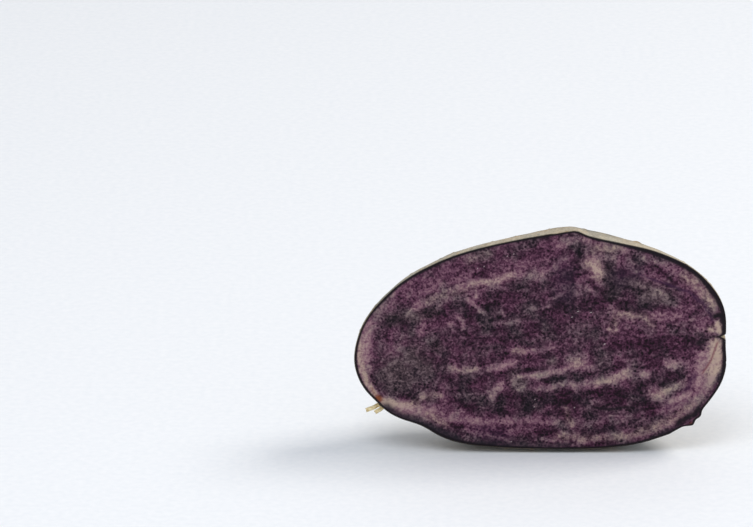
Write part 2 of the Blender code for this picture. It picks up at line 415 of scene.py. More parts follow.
# %% [markdown]
# ## One grid for every surface
# A disc of even quads, with no pinched middle as a polar grid has, comes from squeezing a square grid so
# that its square rings turn into round ones. Laid flat it is the cut face. Blown up it is the back. Its
# rim always has four times as many points as the square has cells along a side, at even angles, so two
# grids of different fineness can be stitched at their rims.


# %% The disc of quads and the stitch
def disc(cells):
    """Radius from 0 to 1 and angle of each point, the quads, and the rim's points in order."""
    steps = np.linspace(-1.0, 1.0, cells + 1)
    a, b = (grid.ravel() for grid in np.meshgrid(steps, steps, indexing="ij"))
    wide = np.abs(a) >= np.abs(b)
    long_side = np.where(wide, a, b)
    share = np.where(wide, b, a) / np.where(long_side == 0, 1.0, long_side)
    angle = np.where(wide, share * math.pi / 4, math.pi / 2 - share * math.pi / 4)
    x, z = long_side * np.cos(angle), long_side * np.sin(angle)
    index = np.arange((cells + 1) ** 2).reshape(cells + 1, cells + 1)
    corners = [index[:-1, :-1], index[1:, :-1], index[1:, 1:], index[:-1, 1:]]
    quads = np.stack([c.ravel() for c in corners], axis=1)
    rim = np.concatenate([index[-1, :-1], index[::-1, -1][:-1], index[0, ::-1][:-1], index[:-1, 0]])
    return np.hypot(x, z), np.arctan2(z, x), quads, rim


def stitch(fine, coarse):
    """Faces between two rims, the first with a whole number of times as many points."""
    times = len(fine) // len(coarse)
    faces = []
    for i in range(len(coarse)):
        run = [fine[(i * times + k) % len(fine)] for k in range(times + 1)]
        faces.append([*run, coarse[(i + 1) % len(coarse)], coarse[i]])
    return faces


print("a disc of 2 x 2 quads has", len(disc(2)[3]), "points on its rim")

# %% Helpers that make a piece
def ways_of(radius, angle, first_lift=0.0):
    """Unit vectors over the back for a disc's points, its rim first_lift radians behind the cut."""
    lift = first_lift + (1.0 - radius) * (math.pi / 2 - first_lift)
    return np.column_stack([np.cos(lift) * np.cos(angle), np.sin(lift), np.cos(lift) * np.sin(angle)])


def new_piece(name, points, faces, material, node):
    """A smooth-shaded closed mesh that stands for a node of the frame."""
    mesh = bpy.data.meshes.new(name)
    mesh.from_pydata(points.tolist(), [], faces)
    body = bmesh.new()
    body.from_mesh(mesh)
    bmesh.ops.recalc_face_normals(body, faces=body.faces[:])
    body.to_mesh(mesh)
    body.free()
    mesh.shade_smooth()
    mesh.materials.append(material)
    piece = bpy.data.objects.new(name, mesh)
    bpy.context.scene.collection.objects.link(piece)
    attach(piece, "root")
    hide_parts(node)
    print(name, len(mesh.polygons), "faces")
    return piece


def store(piece, name, values):
    """Keeps a number for each point of a piece, which a material reads with an Attribute node."""
    kind = "FLOAT" if values.ndim == 1 else "FLOAT_VECTOR"
    layer = piece.data.attributes.new(name, kind, "POINT")
    layer.data.foreach_set("value" if values.ndim == 1 else "vector", values.ravel().astype(np.float32))


def rough(points, size, depth=3):
    """Noise from about -1 to 1, with swells of a size in millimetres."""
    return np.array([noise.fractal(Vector(p) / size, 1.0, 2.0, depth) for p in points])


# %% [markdown]
# ## The skin
# The skin is a thin coat of cork. A Solidify modifier could thicken one surface into a shell, at twice
# the faces. Here the outer side is fine, the inner side that nobody sees is coarse, and the two are
# stitched at the rim, where the knife shows the skin's thickness.

# %% Shape the skin
SKIN_CELLS = 264
INNER_CELLS = 66
SKIN_THICK = 0.25
DEEPER_INSIDE = 0.9  # away from the rim, so that the coarse inner side stays clear of every dent
DEEPER_FROM = (0.6, 4.0)  # millimetres behind the cut
UNEVEN = 0.16  # millimetres of small unevenness
UNEVEN_SIZE = 7.0
UNEVEN_FROM = (0.0, 5.0)  # behind the cut
PALE_STRIP_UNTIL = (2.0, 9.0)  # behind the cut, where handling wore the skin pale and painted light pales it more
TOP_LIGHT_ABOVE = (4.0, 20.0)  # over the middle of the face, where painted light falls on the top


def skin_surface(way, detail=True):
    """The skin's points, and what a material may want to know of each."""
    plain = plain_surface(way)
    rise, hollow, bud, brow_shade = eye_relief(plain)
    rise += swelling(plain)
    # Paler skin just behind the rim: partly wear, partly painted light kept to the upper side
    scuffed_and_top_lit = (1 - smooth_step(plain[:, 1], *PALE_STRIP_UNTIL)) * smooth_step(plain[:, 2], *TOP_LIGHT_ABOVE)
    told = {"hollow": hollow, "bud": bud, "brow_shade": brow_shade, "scuffed_and_top_lit": scuffed_and_top_lit}
    if detail:
        told["lenticel"] = dots(plain, lenticel_centres, lenticel_radii)
        told["pit"] = dots(plain, pit_centres, pit_radii)
        rise += UNEVEN * rough(plain, UNEVEN_SIZE) * smooth_step(plain[:, 1], *UNEVEN_FROM)
        rise += LENTICEL_RISE * told["lenticel"] - PIT_DEEP * told["pit"]
    points = plain + outward(plain) * rise[:, None]
    points[:, 1] = np.maximum(points[:, 1], 0.0)
    points[:, 2] = np.maximum(points[:, 2], -REST_BELOW_MIDDLE)
    return points, told


def inner_surface(way, inset):
    """The same surface an even inset further in, without the small relief."""
    points, _ = skin_surface(way, detail=False)
    inset = inset + DEEPER_INSIDE * smooth_step(points[:, 1], *DEEPER_FROM)
    inner = points - outward(points) * inset[:, None]
    inner[:, 1] = np.maximum(inner[:, 1], points[:, 1].min())
    return inner


print("the skin is", SKIN_THICK, "mm thick at the rim")

# %% Lay the skin on the frame
radius, angle, skin_quads, skin_rim = disc(SKIN_CELLS)
skin_points, skin_told = skin_surface(ways_of(radius, angle))
low, high = skin_points.min(axis=0), skin_points.max(axis=0)
to_frame = (tuber_low + tuber_high) / 2 / MM - (low + high) / 2
to_frame[1] = tuber_low[1] / MM
to_frame[2] = REST_BELOW_MIDDLE

inner_radius, inner_angle, inner_quads, inner_rim = disc(INNER_CELLS)
inside = inner_surface(ways_of(inner_radius, inner_angle), SKIN_THICK)
skin_faces = skin_quads.tolist() + (inner_quads + len(skin_points)).tolist()
skin_faces += stitch(skin_rim.tolist(), (inner_rim + len(skin_points)).tolist())
skin_all = (np.concatenate([skin_points, inside]) + to_frame) * MM
print("skin from", (skin_all.min(axis=0) * 1000).round(2), "to", (skin_all.max(axis=0) * 1000).round(2))

# %% [markdown]
# ## The cork of the skin
# Potato skin is suberised cork, dried from outside in, so it is matt, and its colour is uneven at every
# scale: olive tan, slate blue where the purple cortex shines through thin skin, and a fine ochre grain
# of dried soil. Each pattern below is scaled by a real size.

# %% The cork's patterns
cork, tree = new_material("suberised cork skin")
NET = 1.6  # millimetres between the lines where the cork has cracked


def per_metre(size_mm):
    """A texture's scale that makes its features that many millimetres wide."""
    return 1000.0 / size_mm


where = add(tree, "TexCoord").outputs["Object"]
patterns = []
# The width in millimetres, then the detail, roughness and distortion
for size, detail, rough_share, distortion in (
    (17.0, 6.0, 0.62, 0.6),  # slate patches
    (8.0, 7.0, 0.68, 0.0),  # rusty patches of dried soil
    (3.5, 5.0, 0.70, 0.0),  # clouds of lighter and darker cork
    (0.7, 3.0, 0.75, 0.0),  # the grain of the cork's cells, drawn coarser than life
    (0.9, 4.0, 0.70, 0.0),  # ochre and dark flecks
):
    patterns.append(add(tree, "TexNoise", {
        "Vector": where, "Scale": per_metre(size), "Detail": detail, "Roughness": rough_share,
        "Distortion": distortion}).outputs["Fac"])
patches, rusty, clouds, grain, flecks = patterns
net = add(tree, "TexVoronoi", {"Vector": where, "Scale": per_metre(NET)},
          feature="DISTANCE_TO_EDGE").outputs["Distance"]
print(len(patterns), "noises and a net")

# %% The cork's colours
tan = add(tree, "ValToRGB", {"Fac": clouds}, stops=[
    (0.30, "62594a"), (0.72, "b5a585"), (0.44, "857b66"), (0.56, "9c9079")]).outputs["Color"]
slate = add(tree, "ValToRGB", {"Fac": clouds}, stops=[
    (0.32, "3d4041"), (0.68, "8a8c84"), (0.50, "62665f")]).outputs["Color"]
# The pale strip behind the rim is partly worn skin and partly painted light on the top
scuffed_and_top_lit = add(tree, "Attribute", attribute_name="scuffed_and_top_lit").outputs["Fac"]
colour = tan
# Where a pattern passes from the first value to the second, a tint comes in, up to a share
for pattern, low, high, share, tint in (
    (rusty, 0.50, 0.66, 0.55, linear("a88355")), (patches, 0.49, 0.60, 0.8, slate),
    (flecks, 0.54, 0.70, 0.6, linear("b39263")), (flecks, 0.42, 0.30, 0.6, linear("3d362c")),
    (scuffed_and_top_lit, 0.0, 1.0, 0.5, linear("c9bfab")),
):
    amount = add(tree, "MapRange", {"Value": pattern, "From Min": low, "From Max": high,
                                    "To Max": share}).outputs["Result"]
    colour = add(tree, "Mix", {0: amount, 6: colour, 7: tint}, data_type="RGBA").outputs[2]
shade = add(tree, "MapRange", {"Value": grain, "From Min": 0.3, "From Max": 0.7, "To Min": 0.66,
                               "To Max": 1.26}).outputs["Result"]
grey = add(tree, "CombineColor", {0: shade, 1: shade, 2: shade}).outputs["Color"]
colour = add(tree, "Mix", {0: 1.0, 6: colour, 7: grey}, data_type="RGBA", blend_type="MULTIPLY").outputs[2]
broken = add(tree, "MapRange", {"Value": grain, "From Min": 0.35, "From Max": 0.6,
                                "To Max": 1.6}).outputs["Result"]
# The dark tint in the fold under each eye's brow is painted shade
for told, tint, share in (("lenticel", "bf9866", 0.45), ("pit", "41362a", 0.5), ("hollow", "66543f", 0.5),
                          ("brow_shade", "35291f", 0.75), ("bud", "5d4450", 0.7), ("edge", "1c1416", 1.0)):
    amount = add(tree, "Attribute", attribute_name=told).outputs["Fac"]
    if told in ("lenticel", "pit"):
        # The grain breaks up the dots' round outlines
        amount = add(tree, "Math", {0: amount, 1: broken}, operation="MULTIPLY", use_clamp=True).outputs[0]
    amount = add(tree, "Math", {0: amount, 1: share}, operation="MULTIPLY").outputs[0]
    colour = add(tree, "Mix", {0: amount, 6: colour, 7: linear(tint)}, data_type="RGBA").outputs[2]
print(len(tree.nodes), "nodes make the cork's colour")

# %% The cork's fine relief, and the piece
CORK_RELIEF = 0.14 * MM
NET_SHARE = 0.6  # of the grain's height
height = add(tree, "Math", {0: net, 1: NET_SHARE, 2: grain}, operation="MULTIPLY_ADD").outputs[0]
relief = add(tree, "Bump", {"Strength": 0.7, "Distance": CORK_RELIEF, "Height": height}).outputs["Normal"]
roughness = add(tree, "MapRange", {"Value": clouds, "To Min": 0.95, "To Max": 0.72}).outputs["Result"]
cork_shader = add(tree, "BsdfPrincipled", {"Base Color": colour, "Roughness": roughness,
                                           "Normal": relief, "IOR": 1.45})
add(tree, "OutputMaterial", {"Surface": cork_shader.outputs[0]})

skin = new_piece("potato_skin", skin_all, skin_faces, cork, "tuber_half")
# How dark the skin's cut edge is at bearings in degrees: dark with juice, and on the lower side darker
# still as painted shade
EDGE_BEARINGS = [-180, -150, -125, -105, -70, -55, 25, 60, 80, 130, 165, 180]
EDGE_DARK_AND_SHADE = [0.25, 0.9, 0.9, 0.55, 0.55, 0.9, 0.9, 0.5, 0.1, 0.1, 0.1, 0.25]
ON_RIM = 0.9999
edge_dark_and_shade = np.interp(np.degrees(angle), EDGE_BEARINGS, EDGE_DARK_AND_SHADE) * (radius > ON_RIM)
for name, values in skin_told.items():
    store(skin, name, np.concatenate([values, np.zeros(len(inside))]))
store(skin, "edge", np.concatenate([edge_dark_and_shade, np.ones(len(inside))]))

# %% [markdown]
# ## The cut flesh
# The knife leaves a nearly flat, moist face. Its fine grid carries a few numbers for each point: how far
# in from the rim it lies, how the tissue runs, and where the pigment is thin or thick. The material
# reads them. The body behind the face fills the skin, as the flesh does.

# %% Shape the flesh
FLESH_CELLS = 264
SLACK = 0.05  # millimetres between flesh and skin
FACE_WAVE = 0.12
FACE_WAVE_SIZE = 18.0
GRAIN_RISE = 0.03
GRAIN_SIZE = 1.4
RING_IN = 5.2  # from the rim to the vascular ring
RING_HALF_WIDE = 0.6
RING_SUNK = 0.08
PROUD, SUNK = -0.02, 0.4  # how far the face may stand out or lie in
FLAT_NEAR_RIM = (0.2, 2.0)  # millimetres from the rim over which its waves come in
FIRST_LIFT = math.radians(1.0)
SIDESTEP = 0.002  # radians, to measure how steeply the rim turns in

radius, angle, face_quads, face_rim = disc(FLESH_CELLS)
reach = rim_radius(angle) + fine_rim(angle)
face_reach = radius * (reach - SKIN_THICK - SLACK)
face_x, face_z = face_reach * np.cos(angle), face_reach * np.sin(angle)
rim_slope = (rim_radius(angle + SIDESTEP) - rim_radius(angle - SIDESTEP)) / (2 * SIDESTEP)
rim_mm = (reach - face_reach) / np.hypot(1.0, rim_slope / rim_radius(angle))
flat = np.column_stack([face_x, np.zeros(len(face_x)), face_z])
ring = np.exp(-(((rim_mm - RING_IN) / RING_HALF_WIDE) ** 2))
inward = FACE_WAVE * rough(flat, FACE_WAVE_SIZE) + GRAIN_RISE * rough(flat, GRAIN_SIZE) + RING_SUNK * ring
face_y = np.clip(inward, PROUD, SUNK) * smooth_step(rim_mm, *FLAT_NEAR_RIM)
face_points = np.column_stack([face_x, face_y, face_z])

behind = inner_surface(ways_of(inner_radius, inner_angle, FIRST_LIFT), SKIN_THICK + SLACK)
flesh_faces = face_quads.tolist() + (inner_quads + len(face_points)).tolist()
flesh_faces += stitch(face_rim.tolist(), (inner_rim + len(face_points)).tolist())
flesh_all = (np.concatenate([face_points, behind]) + to_frame) * MM
print("the face is flat within", np.ptp(face_y).round(2), "mm")

# %% [markdown]
# ## How the tissue runs
# From the stolon at one end to the bud at the other, the tissue runs along arcs, as iron filings do
# between two poles. From every point of one arc, the two poles look the same angle apart. So the angle
# tells which arc a point is on, and the ratio of its two distances tells how far along it lies.

# %% Along and across the tissue
STEM_POLE = np.array([-43.5, -17.0])
ROSE_POLE = np.array([49.2, 1.0])
STRETCH = 5.0  # streaks are this many times as long as wide
WIDEST_BEND = 2.8  # radians
CROWDED_AT_STEM = (4.0, 30.0)  # millimetres from the pole
CROWDED_AT_ROSE = (1.0, 14.0)


def tissue_run(x, z):
    """Millimetres along the tissue, shrunk by STRETCH, and millimetres across it."""
    span = np.linalg.norm(ROSE_POLE - STEM_POLE)
    from_stem = np.column_stack([x, z]) - STEM_POLE
    from_rose = np.column_stack([x, z]) - ROSE_POLE
    near, far = np.linalg.norm(from_stem, axis=1), np.linalg.norm(from_rose, axis=1)
    along = span / 4 * np.log((near + 1.0) / (far + 1.0))
    cross = from_stem[:, 0] * from_rose[:, 1] - from_stem[:, 1] * from_rose[:, 0]
    dot = (from_stem * from_rose).sum(axis=1)
    bend = math.pi - np.abs(np.arctan2(cross, dot))
    across = span / 2 * np.tan(np.minimum(bend, WIDEST_BEND) / 2) * np.sign(cross)
    return along / STRETCH, across


def far_from_poles(x, z):
    """0 close to either pole, where the arcs crowd, and 1 away from both."""
    near = np.hypot(x - STEM_POLE[0], z - STEM_POLE[1])
    far = np.hypot(x - ROSE_POLE[0], z - ROSE_POLE[1])
    return smooth_step(near, *CROWDED_AT_STEM) * smooth_step(far, *CROWDED_AT_ROSE)


along, across = tissue_run(face_x, face_z)
print("the tissue runs across from", across.min().round(1), "to", across.max().round(1), "mm")

# %% [markdown]
# ## Pigment
# The purple is anthocyanin in the cells' sap, and it is patchy. Where it is thin the flesh is cream or
# grey lilac, in streaks along the vessels and in a pale band under the rim. Where it is thick the flesh
# is nearly black. The streaks are drawn as short paths in millimetres on the face, each with
# half its width and its strength, and a wobble gives them ragged edges.

# %% Pale streaks of the upper left
PALE = [
    (1.1, 0.45, [(-35.5, 7.8), (-33, 9.2), (-30.5, 10.8), (-28, 12.8), (-25, 13.8), (-22, 14.8)]),
    (1, 0.65, [(-22, 15.2), (-18, 16.2), (-14, 16.7), (-10, 17.3)]),
    (1.2, 0.75, [(-14.5, 16.6), (-11, 17.2), (-9, 18.3)]),
    (1, 0.6, [(-9, 18.3), (-6.5, 18.9), (-4, 17.9), (-1, 18.2), (1.5, 20), (4, 21.5), (6.5, 23)]),
    (0.7, 0.45, [(-34, 12.8), (-31, 14), (-28.5, 14.8), (-26.5, 16.4)]),
    (0.8, 0.4, [(-28, 11.8), (-25, 12), (-23, 11.8), (-20.5, 13)]),
    (3, 0.22, [(-39, 12), (-34, 15.5), (-28, 18), (-20, 19)]),
    (1.6, 0.3, [(-14, 19.5), (-9, 21), (-4, 21.5)]),
    (1.3, 0.3, [(-19, 23), (-15, 24.5)]),
    (0.55, 0.9, [(-19.5, 12.2), (-18.3, 10.4), (-16.7, 8.9), (-15.4, 8.1)]),
    (0.5, 0.75, [(-17.3, 12.6), (-18.1, 10.8)]),
    (0.5, 0.7, [(-22.3, 6.5), (-21, 5.5), (-20.7, 3.5)]),
    (1, 0.65, [(-24, 4.5)]),
    (1, 0.45, [(-31.5, 4.2), (-32, 2.5)]),
    (0.5, 0.35, [(-10.8, 8.5), (-9.5, 7)]),
    (0.6, 0.35, [(-13.5, 4.7), (-10, 5.2), (-6, 5.5)]),
    (4, 0.2, [(-35, 9), (-29, 11.5), (-22, 12)]),
    (2.5, 0.22, [(-38.5, 1), (-37.5, -5)]),
    (1.1, 0.4, [(-37, 14.2), (-33, 17)]),
    (1.6, 0.3, [(-18, 14), (-12, 14.8)]),
    (1.2, 0.42, [(-1, 20.3), (2, 22)]),
    (1.3, 0.62, [(-33.8, 9.3), (-30.5, 10.5)]),
    (0.5, 0.3, [(-7.1, 13.6), (-4.4, 14.4)]),
]

# %% Pale streaks of the top, with the bright drop where a bundle turns to the eye above
PALE += [
    (1.5, 0.55, [(4.2, 27), (8.4, 28.4), (13, 27.8)]),
    (1.2, 0.55, [(14.5, 26), (18, 26.3), (22, 25.6)]),
    (0.8, 0.4, [(11.8, 26.3), (12.2, 24.3)]),
    (1, 0.3, [(15, 24.2), (19, 23.2)]),
    (2, 0.9, [(13.2, 21.9), (14.6, 21.3)]),
    (1.8, 0.95, [(14.3, 22), (15.1, 19)]),
    (1.3, 0.6, [(15, 19), (15.6, 17)]),
    (1, 0.42, [(10.4, 17.5), (10.1, 15), (10.3, 12.8)]),
    (0.7, 0.45, [(12.8, 15.6), (13.8, 13.2)]),
    (0.4, 0.4, [(2, 11.8), (4, 12.2), (5.5, 13.5)]),
    (0.4, 0.4, [(-3, 9.7), (0.5, 8.8), (2.8, 10.3)]),
    (1, 0.45, [(18.5, 9.5), (20.5, 8.5), (21.5, 7.5)]),
    (0.7, 0.65, [(18.3, 3.3), (20, 2.9), (21.3, 3.4)]),
    (1.3, 0.3, [(9, 3.5), (13, 4.5)]),
]

# %% Pale streaks of the upper right
PALE += [
    (0.9, 0.6, [(38.7, 18.9)]),
    (1.2, 0.35, [(27, 23.8), (33, 22), (38, 19.5)]),
    (1.6, 0.58, [(40.5, 17), (43, 14.5), (45, 11.8), (46.2, 9.8)]),
    (1, 0.75, [(44.8, 12.4), (46.6, 9.8), (47.2, 8.7)]),
    (0.6, 0.35, [(24, 20.5), (29, 17.8), (33, 16.8)]),
    (1.2, 0.35, [(24, 17), (27, 15.8), (29, 14.3), (31, 13.5), (33.5, 12.5)]),
    (1.3, 0.35, [(36, 9), (41, 9.5)]),
    (1.1, 0.48, [(21.5, 6.5), (28, 6.5), (32, 7), (34.8, 6.8), (37.5, 7.3)]),
    (0.7, 0.65, [(29.6, 4.9), (30.4, 4.6)]),
    (0.7, 0.6, [(28.5, 6.8)]),
    (0.7, 0.6, [(21.5, 7.5), (25.5, 7.4)]),
    (0.4, 0.4, [(42.2, 3), (42.6, 7.5)]),
    (0.4, 0.4, [(43.8, 2.5), (44.3, 7)]),
    (0.8, 0.8, [(45.7, 3.2), (46.8, 2.8)]),
    (0.85, 1.25, [(47.4, 5.2), (48.1, 2.9)]),
    (0.5, 0.6, [(46.2, 0.2), (47.8, 0.6)]),
]

# %% Pale streaks of the left end
PALE += [
    (2.1, 0.72, [(-46.6, 4), (-47.1, -3), (-47, -8)]),
    (1.2, 0.95, [(-48.2, -1), (-48.2, -6), (-47.4, -9.5)]),
    (1, 0.95, [(-47.2, -9.5), (-46, -12.5), (-44.8, -15.3)]),
    (2, 0.38, [(-44, 6), (-40, 13), (-36, 17)]),
    (1.35, 1.15, [(-41.4, -17.5), (-38, -18.2), (-35, -18.8)]),
    (1.9, 0.8, [(-38, -19), (-33, -19.8), (-29, -20.6)]),
    (1, 0.7, [(-31.4, -15.8)]),
    (1, 0.6, [(-28, -15.6), (-26.5, -15.5)]),
    (0.8, 0.4, [(-28.5, -11.5)]),
    (0.7, 0.35, [(-25.5, -17)]),
]

# %% Pale streaks of the lower left
PALE += [
    (0.9, 0.58, [(-23.8, -7.7), (-21.5, -8.5), (-19, -8.5), (-16.8, -8)]),
    (0.9, 0.6, [(-13.5, -8), (-11.5, -7.6), (-9, -6.6), (-7, -6)]),
    (0.8, 0.75, [(-7, -2.7), (-4.5, -3)]),
    (0.9, 0.48, [(-4.5, -3), (0.5, -2.5), (3.5, -1.2)]),
    (1.1, 0.85, [(-10.3, -13), (-12, -13.7), (-12.8, -15.8)]),
    (0.7, 0.5, [(-7.3, -9.8), (-7, -12)]),
    (1, 0.55, [(-30, -21), (-27.5, -22), (-25, -24)]),
    (1.7, 0.58, [(-25.5, -21), (-20, -22), (-17.5, -22.8)]),
    (1.3, 0.4, [(-15, -22.8), (-5, -22.5), (4, -23)]),
    (1, 0.35, [(-8, -25.5), (-2, -25)]),
    (0.6, 0.35, [(-20, -25.5), (-15, -27), (-8, -28.3)]),
]

# %% Pale streaks of the lower middle, two long ones one over the other
PALE += [
    (0.8, 0.6, [(-6, -10.3), (-3, -9.6), (-1, -9.8), (1.5, -9.3), (4, -8.8), (6.5, -8.3), (8, -7.3)]),
    (1.7, 0.8, [(9, -6.4), (11, -6)]),
    (0.8, 0.45, [(11, -5), (12.5, -4)]),
    (0.8, 0.5, [(10.5, -7.5), (14, -7.5)]),
    (0.9, 0.6, [(-0.5, -13.5), (2, -13.8), (4.5, -12.8), (6.8, -12)]),
    (1.2, 0.75, [(8.5, -12.5), (10.5, -13), (12, -12.3), (13, -12)]),
    (0.5, 0.5, [(13, -12), (17, -11.8)]),
    (1.35, 0.8, [(15.5, -12), (18, -11.3), (21, -10.3), (23.5, -9.2)]),
    (0.7, 0.4, [(-6, -13.5), (-4.5, -13)]),
    (0.9, 0.4, [(3.5, -6)]),
    (0.6, 0.35, [(14.5, -17.5), (17, -17.3)]),
    (1.1, 0.72, [(7.2, -19.4)]),
    (1.2, 0.6, [(8.2, -23.7)]),
    (0.4, 0.45, [(18, -21.6), (24, -21.3)]),
    (1.8, 0.2, [(11, -22.5), (23, -23)]),
    (0.9, 0.6, [(4.5, -27.3), (7, -26.8), (10, -27.5), (12, -28.2)]),
    (1, 0.6, [(15, -27.8), (18, -27.2), (21, -27), (24, -27.4)]),
    (0.4, 0.45, [(0, -27.6), (4, -28.5), (8, -29)]),
]

# %% Pale streaks of the lower right, with the broad band of cortex along the rim
PALE += [
    (1.4, 0.8, [(27.8, -9.6)]),
    (2.4, 0.22, [(20, 4.5), (27, 4.5), (38, 4.8), (43, 5.5)]),
    (1.2, 0.78, [(34.5, -6), (36, -6.8)]),
    (1.2, 0.55, [(37.5, -5.8), (39.5, -7)]),
    (1.6, 0.74, [(31, -15.4), (32.5, -15.2), (33.7, -14.3)]),
    (1.3, 0.5, [(34.5, -13.5), (37, -13), (38.5, -12.5)]),
    (1.2, 0.88, [(35.8, -17.2), (37.8, -16.2), (40, -15)]),
    (1.4, 0.55, [(33.5, -19), (38, -18.5), (41, -17)]),
    (1.8, 1.1, [(46.9, -1.3), (46.7, -5), (45.6, -8.5)]),
    (1.2, 1.2, [(47.6, -1), (47.9, -5), (47.3, -8.5), (46, -11.5)]),
    (2.2, 0.75, [(44, -4.3), (43.9, -9), (43.2, -13)]),
    (1.7, 0.78, [(45.2, -11.5), (44, -14.3), (42.2, -17.2)]),
    (1.1, 0.62, [(41.3, -18.5), (38.5, -20.9), (35.5, -23), (33.5, -24), (31, -25.2)]),
    (0.8, 0.45, [(31, -25), (28.5, -25.9), (26, -27)]),
]
print(len(PALE), "pale streaks")

# %% Dark streaks of the upper half, where the pigment is thick
DARK = [
    (0.7, 0.7, [(-45, -1), (-45.1, -8), (-44.6, -12)]),
    (1.4, 0.7, [(-42, 6), (-38, 6.5), (-35, 5)]),
    (1.5, 0.85, [(-30.2, 8.2), (-28.3, 7.8), (-26.8, 8.2)]),
    (1.2, 0.65, [(-36.5, -15.6), (-33.8, -16)]),
    (1, 0.6, [(-15.2, 18.3), (-15, 20.5)]),
    (1, 0.65, [(-24, 9.5), (-20.5, 10.2)]),
    (1.3, 0.45, [(-19, 8), (-17, 5.5)]),
    (1.3, 0.55, [(-15.5, 13), (-11, 13)]),
    (0.8, 0.6, [(-8, 15.4), (-5, 15.4)]),
    (2.2, 0.35, [(-6, 12.5), (0, 14)]),
    (0.7, 0.95, [(11.2, 27.3), (10.3, 25.8), (9.9, 23.5), (10, 21)]),
    (2, 0.5, [(8, 22.5), (7.3, 19), (7.2, 15)]),
    (1.5, 0.5, [(2, 15), (11, 14.3)]),
    (1.3, 0.7, [(18, 22), (18.6, 18), (18.8, 15.5), (19, 12)]),
    (2, 0.5, [(20.5, 18.5), (24, 18.5)]),
    (1.8, 0.45, [(5, 10.5), (10, 10.5), (16, 9.5)]),
    (1.5, 0.5, [(0, 6), (3, 7)]),
    (4.5, 0.25, [(-16, 5), (-6, 4), (3, 3)]),
    (2, 0.6, [(-15.5, 6), (-13, 8.5)]),
    (2.5, 0.45, [(14.5, 13.5), (17, 9)]),
    (2.5, 0.3, [(3, 19), (7, 23)]),
    (0.4, 0.6, [(28.1, 12), (28.1, 10.5)]),
    (0.4, 0.6, [(31.5, 12.3), (31.5, 10.8)]),
    (0.4, 0.6, [(33.3, 11.5), (33.3, 10.2)]),
    (0.6, 0.6, [(35.3, 14), (35.3, 11.5)]),
    (0.5, 0.6, [(26.2, 15), (26.2, 13.8)]),
    (0.4, 0.6, [(22.7, 13.6), (22.7, 12.4)]),
    (0.9, 0.6, [(21, 9.6), (28, 9.2), (35, 9.4)]),
    (0.5, 0.5, [(22, 6.2), (22.4, 5.8)]),
    (0.5, 0.6, [(26.8, 6.1), (27.2, 5.3)]),
    (3.2, 0.45, [(26, -0.5), (33, -1), (40, -2)]),
    (1.3, 0.45, [(-28, -1.5)]),
    (2, 0.3, [(-20, 1), (-16, -2)]),
]

# %% Dark streaks of the lower half
DARK += [
    (0.5, 0.55, [(-24, -9.5), (-24, -14)]),
    (0.5, 0.55, [(-21.5, -10.5), (-21.5, -14.5)]),
    (0.6, 0.6, [(-19.2, -10), (-19, -14)]),
    (1.2, 0.65, [(-21, -17.5), (-17.5, -17.8), (-13, -18)]),
    (1, 0.85, [(-21, -18.3), (-18, -19.8), (-13, -20.3), (-8, -20.4)]),
    (0.8, 0.8, [(-24, -23.8), (-21, -24.5)]),
    (1, 0.7, [(-15, -25.2), (-10, -25.8)]),
    (0.6, 0.6, [(-3.5, -7.8), (-1, -7.8)]),
    (0.8, 0.6, [(4, -10.6), (13, -9.9)]),
    (0.6, 0.6, [(0, -11.2), (4, -11.2)]),
    (2.4, 0.65, [(-10, -16.5), (20, -16.5)]),
    (1.5, 0.8, [(-5, -17), (-2, -19.5)]),
    (1.3, 0.9, [(6, -17.5), (10, -17.5)]),
    (1.2, 0.6, [(2, -21), (13, -20.8)]),
    (1.6, 0.75, [(16, -15), (23, -15.7)]),
    (1.7, 0.65, [(26.8, -12.5), (27, -16)]),
    (0.9, 0.6, [(0, -26), (4, -26.3)]),
    (1, 0.45, [(12, -25.2), (28, -23.5)]),
    (0.9, 0.65, [(30, -11.7), (34, -12)]),
    (0.9, 0.6, [(35, -9.5), (38, -10.5)]),
    (1, 0.7, [(30.5, -18.2), (33.5, -19.3)]),
    (0.4, 0.75, [(24, -19.3), (30, -19.3)]),
    (0.8, 0.95, [(26, -17.8), (29, -17.8)]),
    (0.7, 0.7, [(31, -26), (33, -26)]),
]
print(len(DARK), "dark streaks")

# %% [markdown]
# The hue leans too. Thin pigment in fresh cells is rose, and the outer cortex without any is cream. Flesh
# that has dried a little since the cut is olive grey. Violet and slate tint what lies just under the rim.

# %% Where the hue leans to rose and to cream
ROSE = [
    (2.2, 0.7, [(-46.5, 5.5), (-47.2, -2.5), (-46.8, -8.5)]),
    (2.2, 0.8, [(-36, -19), (-27, -20.6), (-20.3, -22.6), (-10.9, -24.5), (-0.1, -24.5)]),
    (2.2, 0.6, [(-24, -5.6), (-15, -6.2), (-6, -5.6), (6, -1.5)]),
    (1.2, 0.6, [(-31, 4.5), (-32, 2)]),
    (1.8, 0.6, [(20.8, 6.6), (29.4, 6.9), (37.5, 7.6)]),
    (4, 0.6, [(22, 0.5), (32, -0.5), (40, -2.5)]),
    (2.2, 0.8, [(43, -10), (42, -13), (38, -17), (31, -19.5)]),
    (1.4, 0.6, [(10.4, 16.1), (10.1, 12.7)]),
    (2, 0.6, [(12.5, 24.5), (15, 24)]),
    (2.2, 0.45, [(-29.5, 4), (-20, 8)]),
    (3, 0.7, [(-36, 15), (-26, 18.5), (-15, 20), (-6, 21.5), (2, 25.5)]),
    (1.4, 0.9, [(42.8, 14), (40.5, 15.8), (37, 17)]),
    (0.9, 0.8, [(8, 25)]),
]
